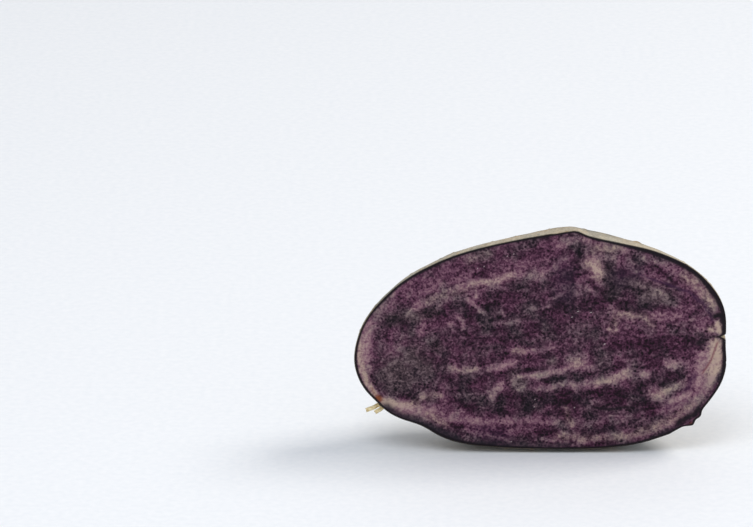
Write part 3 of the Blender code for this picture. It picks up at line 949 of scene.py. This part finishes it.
CREAM = [
    (1.7, 0.7, [(13.2, 21.6), (14.8, 21), (15.2, 18.8)]),
    (1.1, 0.9, [(46.8, 0), (46.8, -5), (45.6, -9)]),
    (0.9, 1, [(47.8, -0.5), (48.1, -5), (47.2, -9)]),
    (0.9, 0.9, [(45.7, 3.2), (47.6, 4.8), (48.2, 3.2)]),
    (0.8, 0.7, [(-48.6, -1), (-48.6, -6), (-47.3, -9.8)]),
    (0.8, 0.8, [(-47, -9.5), (-46, -12.5), (-44.8, -15.3)]),
    (0.9, 0.8, [(-41.6, -17.3), (-37, -18.1), (-33, -17.7)]),
    (1, 0.6, [(4.5, -27.3), (10, -27.5), (15, -27.8), (24, -27.2), (33.5, -23.5), (40.8, -18.5)]),
    (1, 0.6, [(-30, -21), (-26.5, -23), (-25, -24)]),
    (1.3, 0.6, [(38.3, 18.6), (43, 14.5), (46.2, 10.2)]),
    (1.1, 0.35, [(-30, 11.5), (-16.3, 16.2), (-8.2, 18.3)]),
    (1.2, 0.6, [(14.5, 26), (20, 26)]),
    (1.1, 0.6, [(20.5, 8.5), (19.5, 3)]),
    (1, 0.6, [(22, 7.5), (25, 7.4), (28.5, 6.8), (30, 4.8)]),
    (1.2, 0.4, [(31, -15.4), (33.7, -14.3)]),
    (1, 0.4, [(15.5, -12), (21, -10.3), (23.5, -9.2)]),
    (1.2, 0.5, [(9.3, -6.5), (10.7, -6)]),
    (1, 0.6, [(7.2, -19.3), (8.2, -23.6)]),
    (0.9, 0.3, [(-24, -7.8), (-21.5, -8.5), (-17, -8)]),
    (1, 0.5, [(-31.4, -15.8), (-27, -15.5)]),
    (0.8, 0.5, [(-7, -2.8), (-4.5, -3)]),
]

# %% Where it leans to olive, violet and slate
OLIVE = [
    (4.5, 0.7, [(-38.5, -9.5)]),
    (2.6, 0.6, [(-34, -4), (-31, -7)]),
    (1.6, 0.6, [(-19, 23), (-15, 24.5)]),
    (2, 0.6, [(24, 17), (29, 14.3), (33.5, 12.5)]),
    (1.4, 0.6, [(3.5, -6)]),
    (1.6, 0.5, [(-28, -1.5)]),
    (1.8, 0.6, [(-6, -12), (-7, -9.5)]),
    (1.4, 0.6, [(34.5, -13.3), (38.5, -12.5)]),
    (1.5, 0.6, [(-28.3, 8), (-40, 6)]),
    (1.8, 0.5, [(18.6, 20), (19, 13)]),
]
VIOLET = [
    (0.25, 0.9, [(26, 19), (30, 17.3), (36, 15.3), (39, 14), (41.5, 12), (43.5, 10.5), (45, 8),
                 (46.2, 5.8)]),
    (0.25, 0.6, [(36, 15.3), (40, 13.5), (43.5, 11.3), (45.5, 8.5)]),
    (2.2, 0.35, [(-16.5, -25.5), (-9.3, -27.5)]),
    (0.8, 0.55, [(39, -14.5), (40.8, -12), (41.5, -10)]),
    (0.9, 0.25, [(44.8, -9.8), (44.2, -13.5)]),
    (1, 0.4, [(35, -18.8), (40, -17.5)]),
    (3, 0.35, [(6, 20), (6.5, 14)]),
    (2.5, 0.35, [(21, 18), (25, 19)]),
]
SLATE = [
    (1.1, 0.92, [(-41.3, -18.9), (-38.3, -20.9), (-34.3, -22.4), (-30.3, -24.5), (-26, -26.5), (-22, -28)]),
    (0.55, 0.65, [(48.8, -9), (47.3, -11.8), (45.2, -15.8), (43, -19)]),
    (0.7, 0.6, [(38, -24), (35, -25.5), (31, -27.2)]),
    (0.8, 0.7, [(-16, -29.2), (-5, -29.7), (8, -29.8)]),
]
print(len(ROSE) + len(CREAM) + len(OLIVE) + len(VIOLET) + len(SLATE), "tinted areas")

# %% Small marks: black cells at the eyes, rusty corky spots, a seam, and painted glints, highlights on the moist starchy juice
BLACK = [
    (0.9, 0.95, [(37.5, -23.3), (39.5, -22), (41.8, -21), (43, -19.5)]),
    (0.75, 1, [(46.9, 7), (48.3, 7.6), (49, 5.5)]),
    (0.8, 0.9, [(42.4, -0.6), (43.9, -0.2)]),
    (0.5, 0.8, [(43.4, -2)]),
    (0.4, 0.8, [(15, -19), (19, -19.5), (24, -18.8)]),
    (0.3, 0.7, [(48.2, 1.3), (47, 1.2), (45.6, 1.1)]),
]
RUST = [
    (0.7, 0.9, [(-43.8, -16.1), (-43.1, -16.6)]),
    (0.25, 0.45, [(-45.3, -13.4), (-44.2, -15.6)]),
    (0.4, 0.7, [(41.2, -23.6)]),
    (0.4, 0.9, [(11.7, -31), (12.7, -31)]),
    (0.4, 0.8, [(49, 1.1), (49.6, 0.9)]),
]
SEAM = [(0.24, 0.9, [(47.6, -0.5), (46.8, -3), (46, -5.5), (45, -7.3), (43.8, -9.2)])]
PAINTED_GLINTS = [
    (-9, 23.9), (-7.4, 24.5), (-15.2, 21), (-17, 20.5), (10.1, 8.5), (13.4, 8.2), (8.5, 6.8),
    (17.2, -1), (-1.3, -16.7), (-1.4, -18.7), (9.3, -18.9), (-7.5, -28.8),
]
print(len(BLACK) + len(RUST) + len(SEAM) + len(PAINTED_GLINTS), "small marks")

# %% Paint the strokes on the face
WOBBLE = 0.5  # millimetres that noise shifts the streaks by
WOBBLE_SIZE = 2.6
ELSEWHERE = 50.0  # millimetres away in the same noise, so that up and down wobbles unlike left and right
SPREAD = 1.15  # half widths, from a path's middle to where it fades
CRISPNESS = 2.6  # 2 fades as softly as a bell curve


def painted(x, z, strokes):
    """How strongly a list of paths covers each point: 0 away from all, and a path's strength on it."""
    cover = np.zeros(len(x))
    for half_width, strength, path in strokes:
        best = np.full(len(x), np.inf)
        for (x0, z0), (x1, z1) in zip(path, path[1:] or path):
            dx, dz = x1 - x0, z1 - z0
            t = np.clip(((x - x0) * dx + (z - z0) * dz) / max(dx * dx + dz * dz, 1e-9), 0.0, 1.0)
            best = np.minimum(best, np.hypot(x - x0 - t * dx, z - z0 - t * dz))
        cover = np.maximum(cover, strength * np.exp(-((best / (SPREAD * half_width)) ** CRISPNESS)))
    return cover


wobble_x = face_x + WOBBLE * rough(flat, WOBBLE_SIZE)
wobble_z = face_z + WOBBLE * rough(flat + ELSEWHERE, WOBBLE_SIZE)
pigment_and_glints = {
    "streaked": far_from_poles(face_x, face_z),
    "glint": np.zeros(len(face_x)),
}
# Each glint is a painted highlight on the nearest point of the face
for x, z in PAINTED_GLINTS:
    pigment_and_glints["glint"][np.argmin(np.hypot(face_x - x, face_z - z))] = 1.0
for name, strokes in (("pale", PALE), ("dark", DARK), ("rose", ROSE), ("cream", CREAM), ("olive", OLIVE),
                      ("violet", VIOLET), ("slate", SLATE)):
    pigment_and_glints[name] = painted(wobble_x, wobble_z, strokes)
for name, strokes in (("black", BLACK), ("rust", RUST), ("seam", SEAM)):
    pigment_and_glints[name] = painted(face_x, face_z, strokes)

# %% The dark band under the skin
# Its width in millimetres at bearings in degrees
BAND_BEARINGS = [-180, -155, -145, -135, -125, -90, -40, -24, -13, -9, 0, 15, 30, 60, 90, 120, 150, 180]
BAND_WIDTHS = [0.75, 0.55, 0.6, 0.8, 0.8, 0.65, 0.75, 0.6, 0.55, 1.15, 1.1, 1.35, 1.15, 0.75, 0.7, 0.65,
               0.85, 0.75]
pigment_and_glints["in_bands"] = rim_mm / np.interp(np.degrees(angle), BAND_BEARINGS, BAND_WIDTHS)
print({name: float(values.mean().round(3)) for name, values in pigment_and_glints.items()})

# %% [markdown]
# ## The flesh as a material
# Raw potato is wet starch-filled tissue: satin, with an index of refraction near water's. One number,
# how pale a spot is, gathers the drawn streaks, soft streaks along the tissue and the grain of the
# cells. A colour ramp turns it from black violet over purple and grey lilac to cream.

# %% The flesh's patterns
flesh_material, tree = new_material("moist purple potato flesh")
STREAK = 2.6  # millimetres wide
DARK_CELL = 0.95  # between the middles of pigment-filled cells, drawn coarser than life

where = add(tree, "TexCoord").outputs["Object"]
run = add(tree, "Attribute", attribute_name="run").outputs["Vector"]
streaks = add(tree, "TexNoise", {"Vector": run, "Scale": 1 / STREAK, "Detail": 1.5,
                                 "Roughness": 0.5}).outputs["Fac"]
patterns = []
# The width in millimetres, then the detail, roughness and distortion
for size, detail, rough_share, distortion in (
    (1.9, 1.0, 0.5, 1.2),  # clots of like cells
    (0.9, 2.0, 0.6, 0.5),  # groups of a few cells
    (0.45, 2.0, 0.5, 0.0),  # specks, single cells drawn coarser than life
    (9.0, 3.0, 0.5, 0.0),  # the drift from fuller to emptier tissue
    (6.0, 6.0, 0.6, 0.0),  # the drift of the hue
    (4.0, 2.0, 0.5, 0.0),  # where cells full of pigment gather
):
    patterns.append(add(tree, "TexNoise", {
        "Vector": where, "Scale": per_metre(size), "Detail": detail, "Roughness": rough_share,
        "Distortion": distortion}).outputs["Fac"])
clots, cells, specks, drift, hue_drift, gathered = patterns
dark_cells = add(tree, "TexVoronoi", {"Vector": where, "Scale": per_metre(DARK_CELL)}).outputs["Distance"]
marks = {name: add(tree, "Attribute", attribute_name=name).outputs["Fac"] for name in pigment_and_glints}

streaks = add(tree, "Math", {0: streaks, 1: -0.5}, operation="ADD").outputs[0]
streaks = add(tree, "Math", {0: streaks, 1: marks["streaked"]}, operation="MULTIPLY").outputs[0]
print(len(patterns), "noises,", len(marks), "painted marks")

# %% How pale each spot is
# Noise fades evenly, cells don't: each amount is made to pass from start to end over a short stretch
crisp = []
for amount, low, high, start, end in (
    (clots, 0.40, 0.60, 0.0, 1.0), (cells, 0.38, 0.62, 0.0, 1.0), (dark_cells, 0.12, 0.48, 1.0, 0.0),
    (gathered, 0.4, 0.6, 0.3, 1.0), (marks["pale"], 0.2, 0.9, 1.0, 0.3),
):
    crisp.append(add(tree, "MapRange", {"Value": amount, "From Min": low, "From Max": high, "To Min": start,
                                        "To Max": end}, interpolation_type="SMOOTHSTEP").outputs["Result"])
crisp_clots, crisp_cells, dark_cells, gathered, off_pale = crisp
# Cells full of pigment gather in places, and few lie in the pale streaks
for amount in (gathered, off_pale):
    dark_cells = add(tree, "Math", {0: dark_cells, 1: amount}, operation="MULTIPLY").outputs[0]

pale = 0.012
for amount, weight in ((streaks, 0.48), (crisp_clots, 0.15), (crisp_cells, 0.16), (specks, 0.40),
                       (drift, 0.12), (dark_cells, -0.28), (marks["pale"], 0.52), (marks["dark"], -0.22)):
    pale = add(tree, "Math", {0: amount, 1: weight, 2: pale}, operation="MULTIPLY_ADD").outputs[0]
print(len(tree.nodes), "nodes tell how pale a spot is")

# %% The flesh's colours
greyish = add(tree, "ValToRGB", {"Fac": pale}, stops=[
    (0.10, "0e090f"), (1.00, "a49084"), (0.27, "271b26"), (0.40, "413139"), (0.50, "56444b"),
    (0.60, "69565d"), (0.72, "7d6b6b"), (0.85, "8f7e78")]).outputs["Color"]
purplish = add(tree, "ValToRGB", {"Fac": pale}, stops=[
    (0.10, "14060f"), (1.00, "a68888"), (0.27, "311227"), (0.40, "462539"), (0.50, "5b354a"),
    (0.60, "6f495c"), (0.72, "835f6b"), (0.85, "947279")]).outputs["Color"]
hue = add(tree, "MapRange", {"Value": hue_drift, "From Min": 0.36, "From Max": 0.60}).outputs["Result"]
hue = add(tree, "Math", {0: marks["rose"], 1: 0.8, 2: hue}, operation="MULTIPLY_ADD").outputs[0]
hue = add(tree, "Math", {0: marks["olive"], 1: -1.1, 2: hue}, operation="MULTIPLY_ADD",
          use_clamp=True).outputs[0]
colour = add(tree, "Mix", {0: hue, 6: greyish, 7: purplish}, data_type="RGBA").outputs[2]
warm = add(tree, "ValToRGB", {"Fac": pale}, stops=[
    (0.10, "1c1014"), (1.00, "b8a08f"), (0.5, "594545"), (0.72, "87706a")]).outputs["Color"]
creamy = add(tree, "MapRange", {"Value": cells, "From Min": 0.35, "From Max": 0.6, "To Min": 0.35,
                                "To Max": 0.95}).outputs["Result"]
creamy = add(tree, "Math", {0: creamy, 1: marks["cream"]}, operation="MULTIPLY").outputs[0]
creamy = add(tree, "Math", {0: marks["olive"], 1: 0.3, 2: creamy}, operation="MULTIPLY_ADD").outputs[0]
colour = add(tree, "Mix", {0: creamy, 6: colour, 7: warm}, data_type="RGBA").outputs[2]
# The glint tint paints tiny highlights as pale specks
for mark, tint, share in (("violet", "3a1d3a", 0.85), ("slate", "232027", 0.85), ("rust", "8a4d26", 0.9),
                          ("seam", "78454f", 1.0), ("glint", "c8b8b8", 0.9)):
    amount = add(tree, "Math", {0: marks[mark], 1: share}, operation="MULTIPLY").outputs[0]
    colour = add(tree, "Mix", {0: amount, 6: colour, 7: linear(tint)}, data_type="RGBA").outputs[2]

# %% [markdown]
# Right under the skin lies a band of a millimetre where the pigment is densest. Its inner side is soft
# and uneven, so noise is added to the distance from the rim before it is turned into a share.

# %% The dark rim and the finish
UNEVEN_BAND = 0.8
BAND_FULL, BAND_GONE = 0.7 + UNEVEN_BAND / 2, 1.4 + UNEVEN_BAND / 2  # in widths of the band
FLESH_RELIEF = 0.08 * MM
uneven_rim = add(tree, "Math", {0: drift, 1: UNEVEN_BAND, 2: marks["in_bands"]},
                 operation="MULTIPLY_ADD").outputs[0]
rim_share = add(tree, "MapRange", {"Value": uneven_rim, "From Min": BAND_FULL, "From Max": BAND_GONE,
                                   "To Min": 0.97, "To Max": 0.0},
                interpolation_type="SMOOTHSTEP").outputs["Result"]
rim_share = add(tree, "Math", {0: rim_share, 1: marks["black"]}, operation="MAXIMUM").outputs[0]
colour = add(tree, "Mix", {0: rim_share, 6: colour, 7: linear("150f16")}, data_type="RGBA").outputs[2]
height = add(tree, "Math", {0: cells, 1: specks}, operation="ADD").outputs[0]
relief = add(tree, "Bump", {"Strength": 0.5, "Distance": FLESH_RELIEF, "Height": height}).outputs["Normal"]
moist = add(tree, "MapRange", {"Value": specks, "To Min": 0.62, "To Max": 0.38}).outputs["Result"]
flesh_shader = add(tree, "BsdfPrincipled", {"Base Color": colour, "Roughness": moist, "Normal": relief,
                                            "IOR": 1.36, "Specular IOR Level": 0.2})
add(tree, "OutputMaterial", {"Surface": flesh_shader.outputs[0]})

flesh = new_piece("potato_flesh", flesh_all, flesh_faces, flesh_material, "tuber_half")
for name, values in pigment_and_glints.items():
    store(flesh, name, np.concatenate([values, np.zeros(len(behind))]))
run_values = np.column_stack([along, np.zeros(len(along)), across])
store(flesh, "run", np.concatenate([run_values, behind]))

# %% [markdown]
# ## The stolon's strands
# What held the tuber to the plant has dried to two short strands of straw-coloured fibre, stuck in a
# corky button. A plain bevelled curve would look like wire. These are tubes with their own grooves,
# an uneven girth and torn ends.

# %% A grooved strand
STRAND_RADIUS = 0.55
STRAND_SIDES = 28
STRAND_RINGS = 44
LONG_STRAND = [(-42.1, 3.1, -18.8), (-43.6, 2.9, -19.3), (-45.2, 2.5, -20.0), (-46.8, 2.1, -20.5)]
SHORT_STRAND = [(-41.9, 2.5, -19.2), (-43.0, 2.0, -20.2), (-44.4, 1.5, -20.8)]
SOFTENED_OVER = 7  # rings over which a route's corners are rounded
FLATNESS = 0.9
COARSE_GROOVES = (5, 0.07)  # how many round the strand, and their share of the radius
FINE_GROOVES = (9, 0.05)
UNEVEN_GIRTH = 0.05  # share of the radius
GIRTH_PACE = 4.1  # radians of its swelling and thinning from one knot to the next
TORN_LONG = 0.25  # radii
TIP = 0.12


def tube(route, radius, seed):
    """A grooved tube with closed, torn ends along a route, as points and faces."""
    knots = np.array(route)
    t = np.linspace(0, len(knots) - 1, STRAND_RINGS)
    middle = np.column_stack([np.interp(t, range(len(knots)), knots[:, i]) for i in range(3)])
    kernel = np.ones(SOFTENED_OVER) / SOFTENED_OVER
    spare = SOFTENED_OVER // 2
    padded = np.pad(middle, ((spare, spare), (0, 0)), mode="reflect", reflect_type="odd")
    middle = np.column_stack([np.convolve(padded[:, i], kernel, mode="valid") for i in range(3)])
    tangent = np.gradient(middle, axis=0)
    tangent /= np.linalg.norm(tangent, axis=1, keepdims=True)
    side = np.cross(tangent, [0.0, 1.0, 0.0])
    side /= np.linalg.norm(side, axis=1, keepdims=True)
    up = np.cross(side, tangent)
    turn = np.arange(STRAND_SIDES) * 2 * math.pi / STRAND_SIDES
    grooves = 1.0
    for k, (count, share) in enumerate((COARSE_GROOVES, FINE_GROOVES), 1):
        grooves = grooves + share * np.sin(count * turn + k * seed)
    girth = 1 + UNEVEN_GIRTH * np.sin(t[:, None] * GIRTH_PACE + seed) * np.cos(turn + seed)
    grown = radius * grooves * girth
    torn = TORN_LONG * radius * np.sin(3 * turn + seed) * (t / t[-1])[:, None] ** 12
    points = (
        middle[:, None] + side[:, None] * (grown * np.cos(turn))[..., None]
        + up[:, None] * (grown * FLATNESS * np.sin(turn))[..., None] + tangent[:, None] * torn[..., None]
    ).reshape(-1, 3)
    faces = []
    for i in range(STRAND_RINGS - 1):
        for j in range(STRAND_SIDES):
            k = (j + 1) % STRAND_SIDES
            a, b = i * STRAND_SIDES, (i + 1) * STRAND_SIDES
            faces.append([a + j, a + k, b + k, b + j])
    last = (STRAND_RINGS - 1) * STRAND_SIDES
    points = np.concatenate([points, middle[:1], middle[-1:] - tangent[-1:] * TIP])
    for j in range(STRAND_SIDES):
        k = (j + 1) % STRAND_SIDES
        faces.append([k, j, len(points) - 2])
        faces.append([last + j, last + k, len(points) - 1])
    return points, faces


print("the long strand reaches", round(LONG_STRAND[0][0] - LONG_STRAND[-1][0], 1), "mm to the left")

# %% [markdown]
# A plug of cork seals the wound where the stolon dries off. It is the disc of quads once more, domed and
# crumbly outside and tapered inside, so that it sits in the scar like a stopper.

# %% The corky button
SCAR = (-42.5, 2.9, -18.9)
SCAR_OUTWARD = (-0.86, 0.04, -0.51)
BUTTON_RADIUS = 1.35
BUTTON_CELLS = 24
BUTTON_DOME = 0.35
BUTTON_DEEP = 1.5
BUTTON_TAPER = 0.8
CRUMB_RISE = 0.12
CRUMB_SIZE = 0.6


def button(radius):
    """A rough corky plug along the scar's axis, domed outside, as points and faces."""
    out, turn, quads, rim = disc(BUTTON_CELLS)
    axis = np.array(SCAR_OUTWARD) / np.linalg.norm(SCAR_OUTWARD)
    side = np.cross(axis, [0.0, 1.0, 0.0])
    side /= np.linalg.norm(side)
    up = np.cross(side, axis)
    flat_part = radius * out[:, None] * (np.cos(turn)[:, None] * side + np.sin(turn)[:, None] * up)
    rise = BUTTON_DOME * (1 - out**4) + CRUMB_RISE * rough(flat_part, CRUMB_SIZE)
    top = np.array(SCAR) + flat_part + axis * rise[:, None]
    bottom = np.array(SCAR) + flat_part * BUTTON_TAPER - axis * BUTTON_DEEP
    faces = quads.tolist() + (quads + len(top)).tolist()
    faces += stitch(rim.tolist(), (rim + len(top)).tolist())
    return np.concatenate([top, bottom]), faces


print("the button is", 2 * BUTTON_RADIUS, "mm across")

# %% [markdown]
# ## Straw and cork
# A dry stolon is bundled fibre: pale straw colour with darker grooves along it, matt with a faint
# sheen. The button that seals its scar is brown cork, crumbly and quite matt. Both get a noise at the
# size of their fibres or crumbs, used for the colour and again for the relief.

# %% The fibre of the strands
straw, tree = new_material("dry stolon fibre")
FIBRE = 0.25  # millimetres, a bundle of fibres together
ALONG_FIBRE = (0.18, 1.0, 1.0)  # stretches the noise along x, which the strands follow
FIBRE_RELIEF = 0.05 * MM
where = add(tree, "TexCoord").outputs["Object"]
across_fibre = add(tree, "VectorMath", {0: where, 1: ALONG_FIBRE}, operation="MULTIPLY").outputs[0]
fibres = add(tree, "TexNoise", {"Vector": across_fibre, "Scale": per_metre(FIBRE), "Detail": 4.0,
                                "Roughness": 0.6}).outputs["Fac"]
colour = add(tree, "ValToRGB", {"Fac": fibres}, stops=[
    (0.28, "9a7a4a"), (0.70, "fff4d2"), (0.42, "e2cb96"), (0.55, "f6e6b8")]).outputs["Color"]
relief = add(tree, "Bump", {"Strength": 0.5, "Distance": FIBRE_RELIEF, "Height": fibres}).outputs["Normal"]
fibre_shader = add(tree, "BsdfPrincipled", {"Base Color": colour, "Roughness": 0.6, "Normal": relief,
                                            "IOR": 1.5})
add(tree, "OutputMaterial", {"Surface": fibre_shader.outputs[0]})
print(straw.name, "has", len(tree.nodes), "nodes")

# %% Cork of the button
button_cork, tree = new_material("brown scar cork")
CRUMB = 0.5  # millimetres
CRUMB_RELIEF = 0.1 * MM
where = add(tree, "TexCoord").outputs["Object"]
crumbs = add(tree, "TexNoise", {"Vector": where, "Scale": per_metre(CRUMB), "Detail": 4.0}).outputs["Fac"]
colour = add(tree, "ValToRGB", {"Fac": crumbs}, stops=[
    (0.35, "3a2416"), (0.68, "a9764a"), (0.5, "70482b")]).outputs["Color"]
relief = add(tree, "Bump", {"Strength": 0.6, "Distance": CRUMB_RELIEF, "Height": crumbs}).outputs["Normal"]
button_shader = add(tree, "BsdfPrincipled", {"Base Color": colour, "Roughness": 0.85, "Normal": relief,
                                             "IOR": 1.45})
add(tree, "OutputMaterial", {"Surface": button_shader.outputs[0]})
print(button_cork.name, "has", len(tree.nodes), "nodes")

# %% The three pieces of the stolon
LONG_SEED, SHORT_SEED = 0.7, 2.9  # radians that turn the grooves, so that the two strands differ
for name, (points, faces), material in (
    ("stolon_long_strand", tube(LONG_STRAND, STRAND_RADIUS, LONG_SEED), straw),
    ("stolon_short_strand", tube(SHORT_STRAND, STRAND_RADIUS, SHORT_SEED), straw),
    ("stolon_button", button(BUTTON_RADIUS), button_cork),
):
    new_piece(name, (points + to_frame) * MM, faces, material, "stolon_stub")

# %% [markdown]
# ## Floor and light
# The table is a wide sheet of uncoated white paper, matt, so that it mirrors nothing. A sweep that rises
# behind the half would hide it from other sides, so the sheet is flat, and wide enough for a camera
# anywhere round it.

# %% The paper floor
FLOOR_WIDE = 16.0
floor_mesh = bpy.data.meshes.new("paper_floor")
corners = [(x * FLOOR_WIDE / 2, y * FLOOR_WIDE / 2, 0.0) for x, y in ((-1, -1), (1, -1), (1, 1), (-1, 1))]
floor_mesh.from_pydata(corners, [], [(0, 1, 2, 3)])
floor = bpy.data.objects.new("paper_floor", floor_mesh)
bpy.context.scene.collection.objects.link(floor)

paper, tree = new_material("white paper")
PULP = 2.0  # millimetres, the clouds of fibre that show against the light
where = add(tree, "TexCoord").outputs["Object"]
pulp = add(tree, "TexNoise", {"Vector": where, "Scale": per_metre(PULP), "Detail": 3.0}).outputs["Fac"]
colour = add(tree, "ValToRGB", {"Fac": pulp}, stops=[(0.3, "e9ecef"), (0.7, "eff1f3")]).outputs["Color"]
paper_shader = add(tree, "BsdfPrincipled", {"Base Color": colour, "Roughness": 0.7})
add(tree, "OutputMaterial", {"Surface": paper_shader.outputs[0]})
floor_mesh.materials.append(paper)
print("the floor is", FLOOR_WIDE, "m wide")

# %% [markdown]
# The light is soft: a large square lamp high on the right stands for a window and leaves a soft shadow at
# the lower left, a weaker one in front keeps the dark flesh readable, and a white room fills the rest.
# The plain view transform shows the colours as they were picked.

# %% Lights and the picture's tone
def area_light(name, place, aim, size, watts, hex_colour):
    """A square soft light at a place, turned to aim."""
    light = bpy.data.lights.new(name, "AREA")
    light.size = size
    light.energy = watts
    light.color = linear(hex_colour)[:3]
    lamp = bpy.data.objects.new(name, light)
    lamp.location = place
    lamp.rotation_euler = (Vector(place) - Vector(aim)).to_track_quat("Z", "Y").to_euler()
    bpy.context.scene.collection.objects.link(lamp)


aim = (0.0, 0.0, 0.03)
area_light("window", (1.45, 0.34, 1.65), aim, 0.9, 27.0, "fffaf4")
area_light("front_fill", (-0.3, -0.8, 1.3), aim, 0.8, 7.5, "f4f8ff")
world = bpy.data.worlds.new("white room")
world.use_nodes = True
world.node_tree.nodes["Background"].inputs["Color"].default_value = linear("f0f3f9")
world.node_tree.nodes["Background"].inputs["Strength"].default_value = 0.6
bpy.context.scene.world = world
bpy.context.scene.view_settings.view_transform = "Standard"
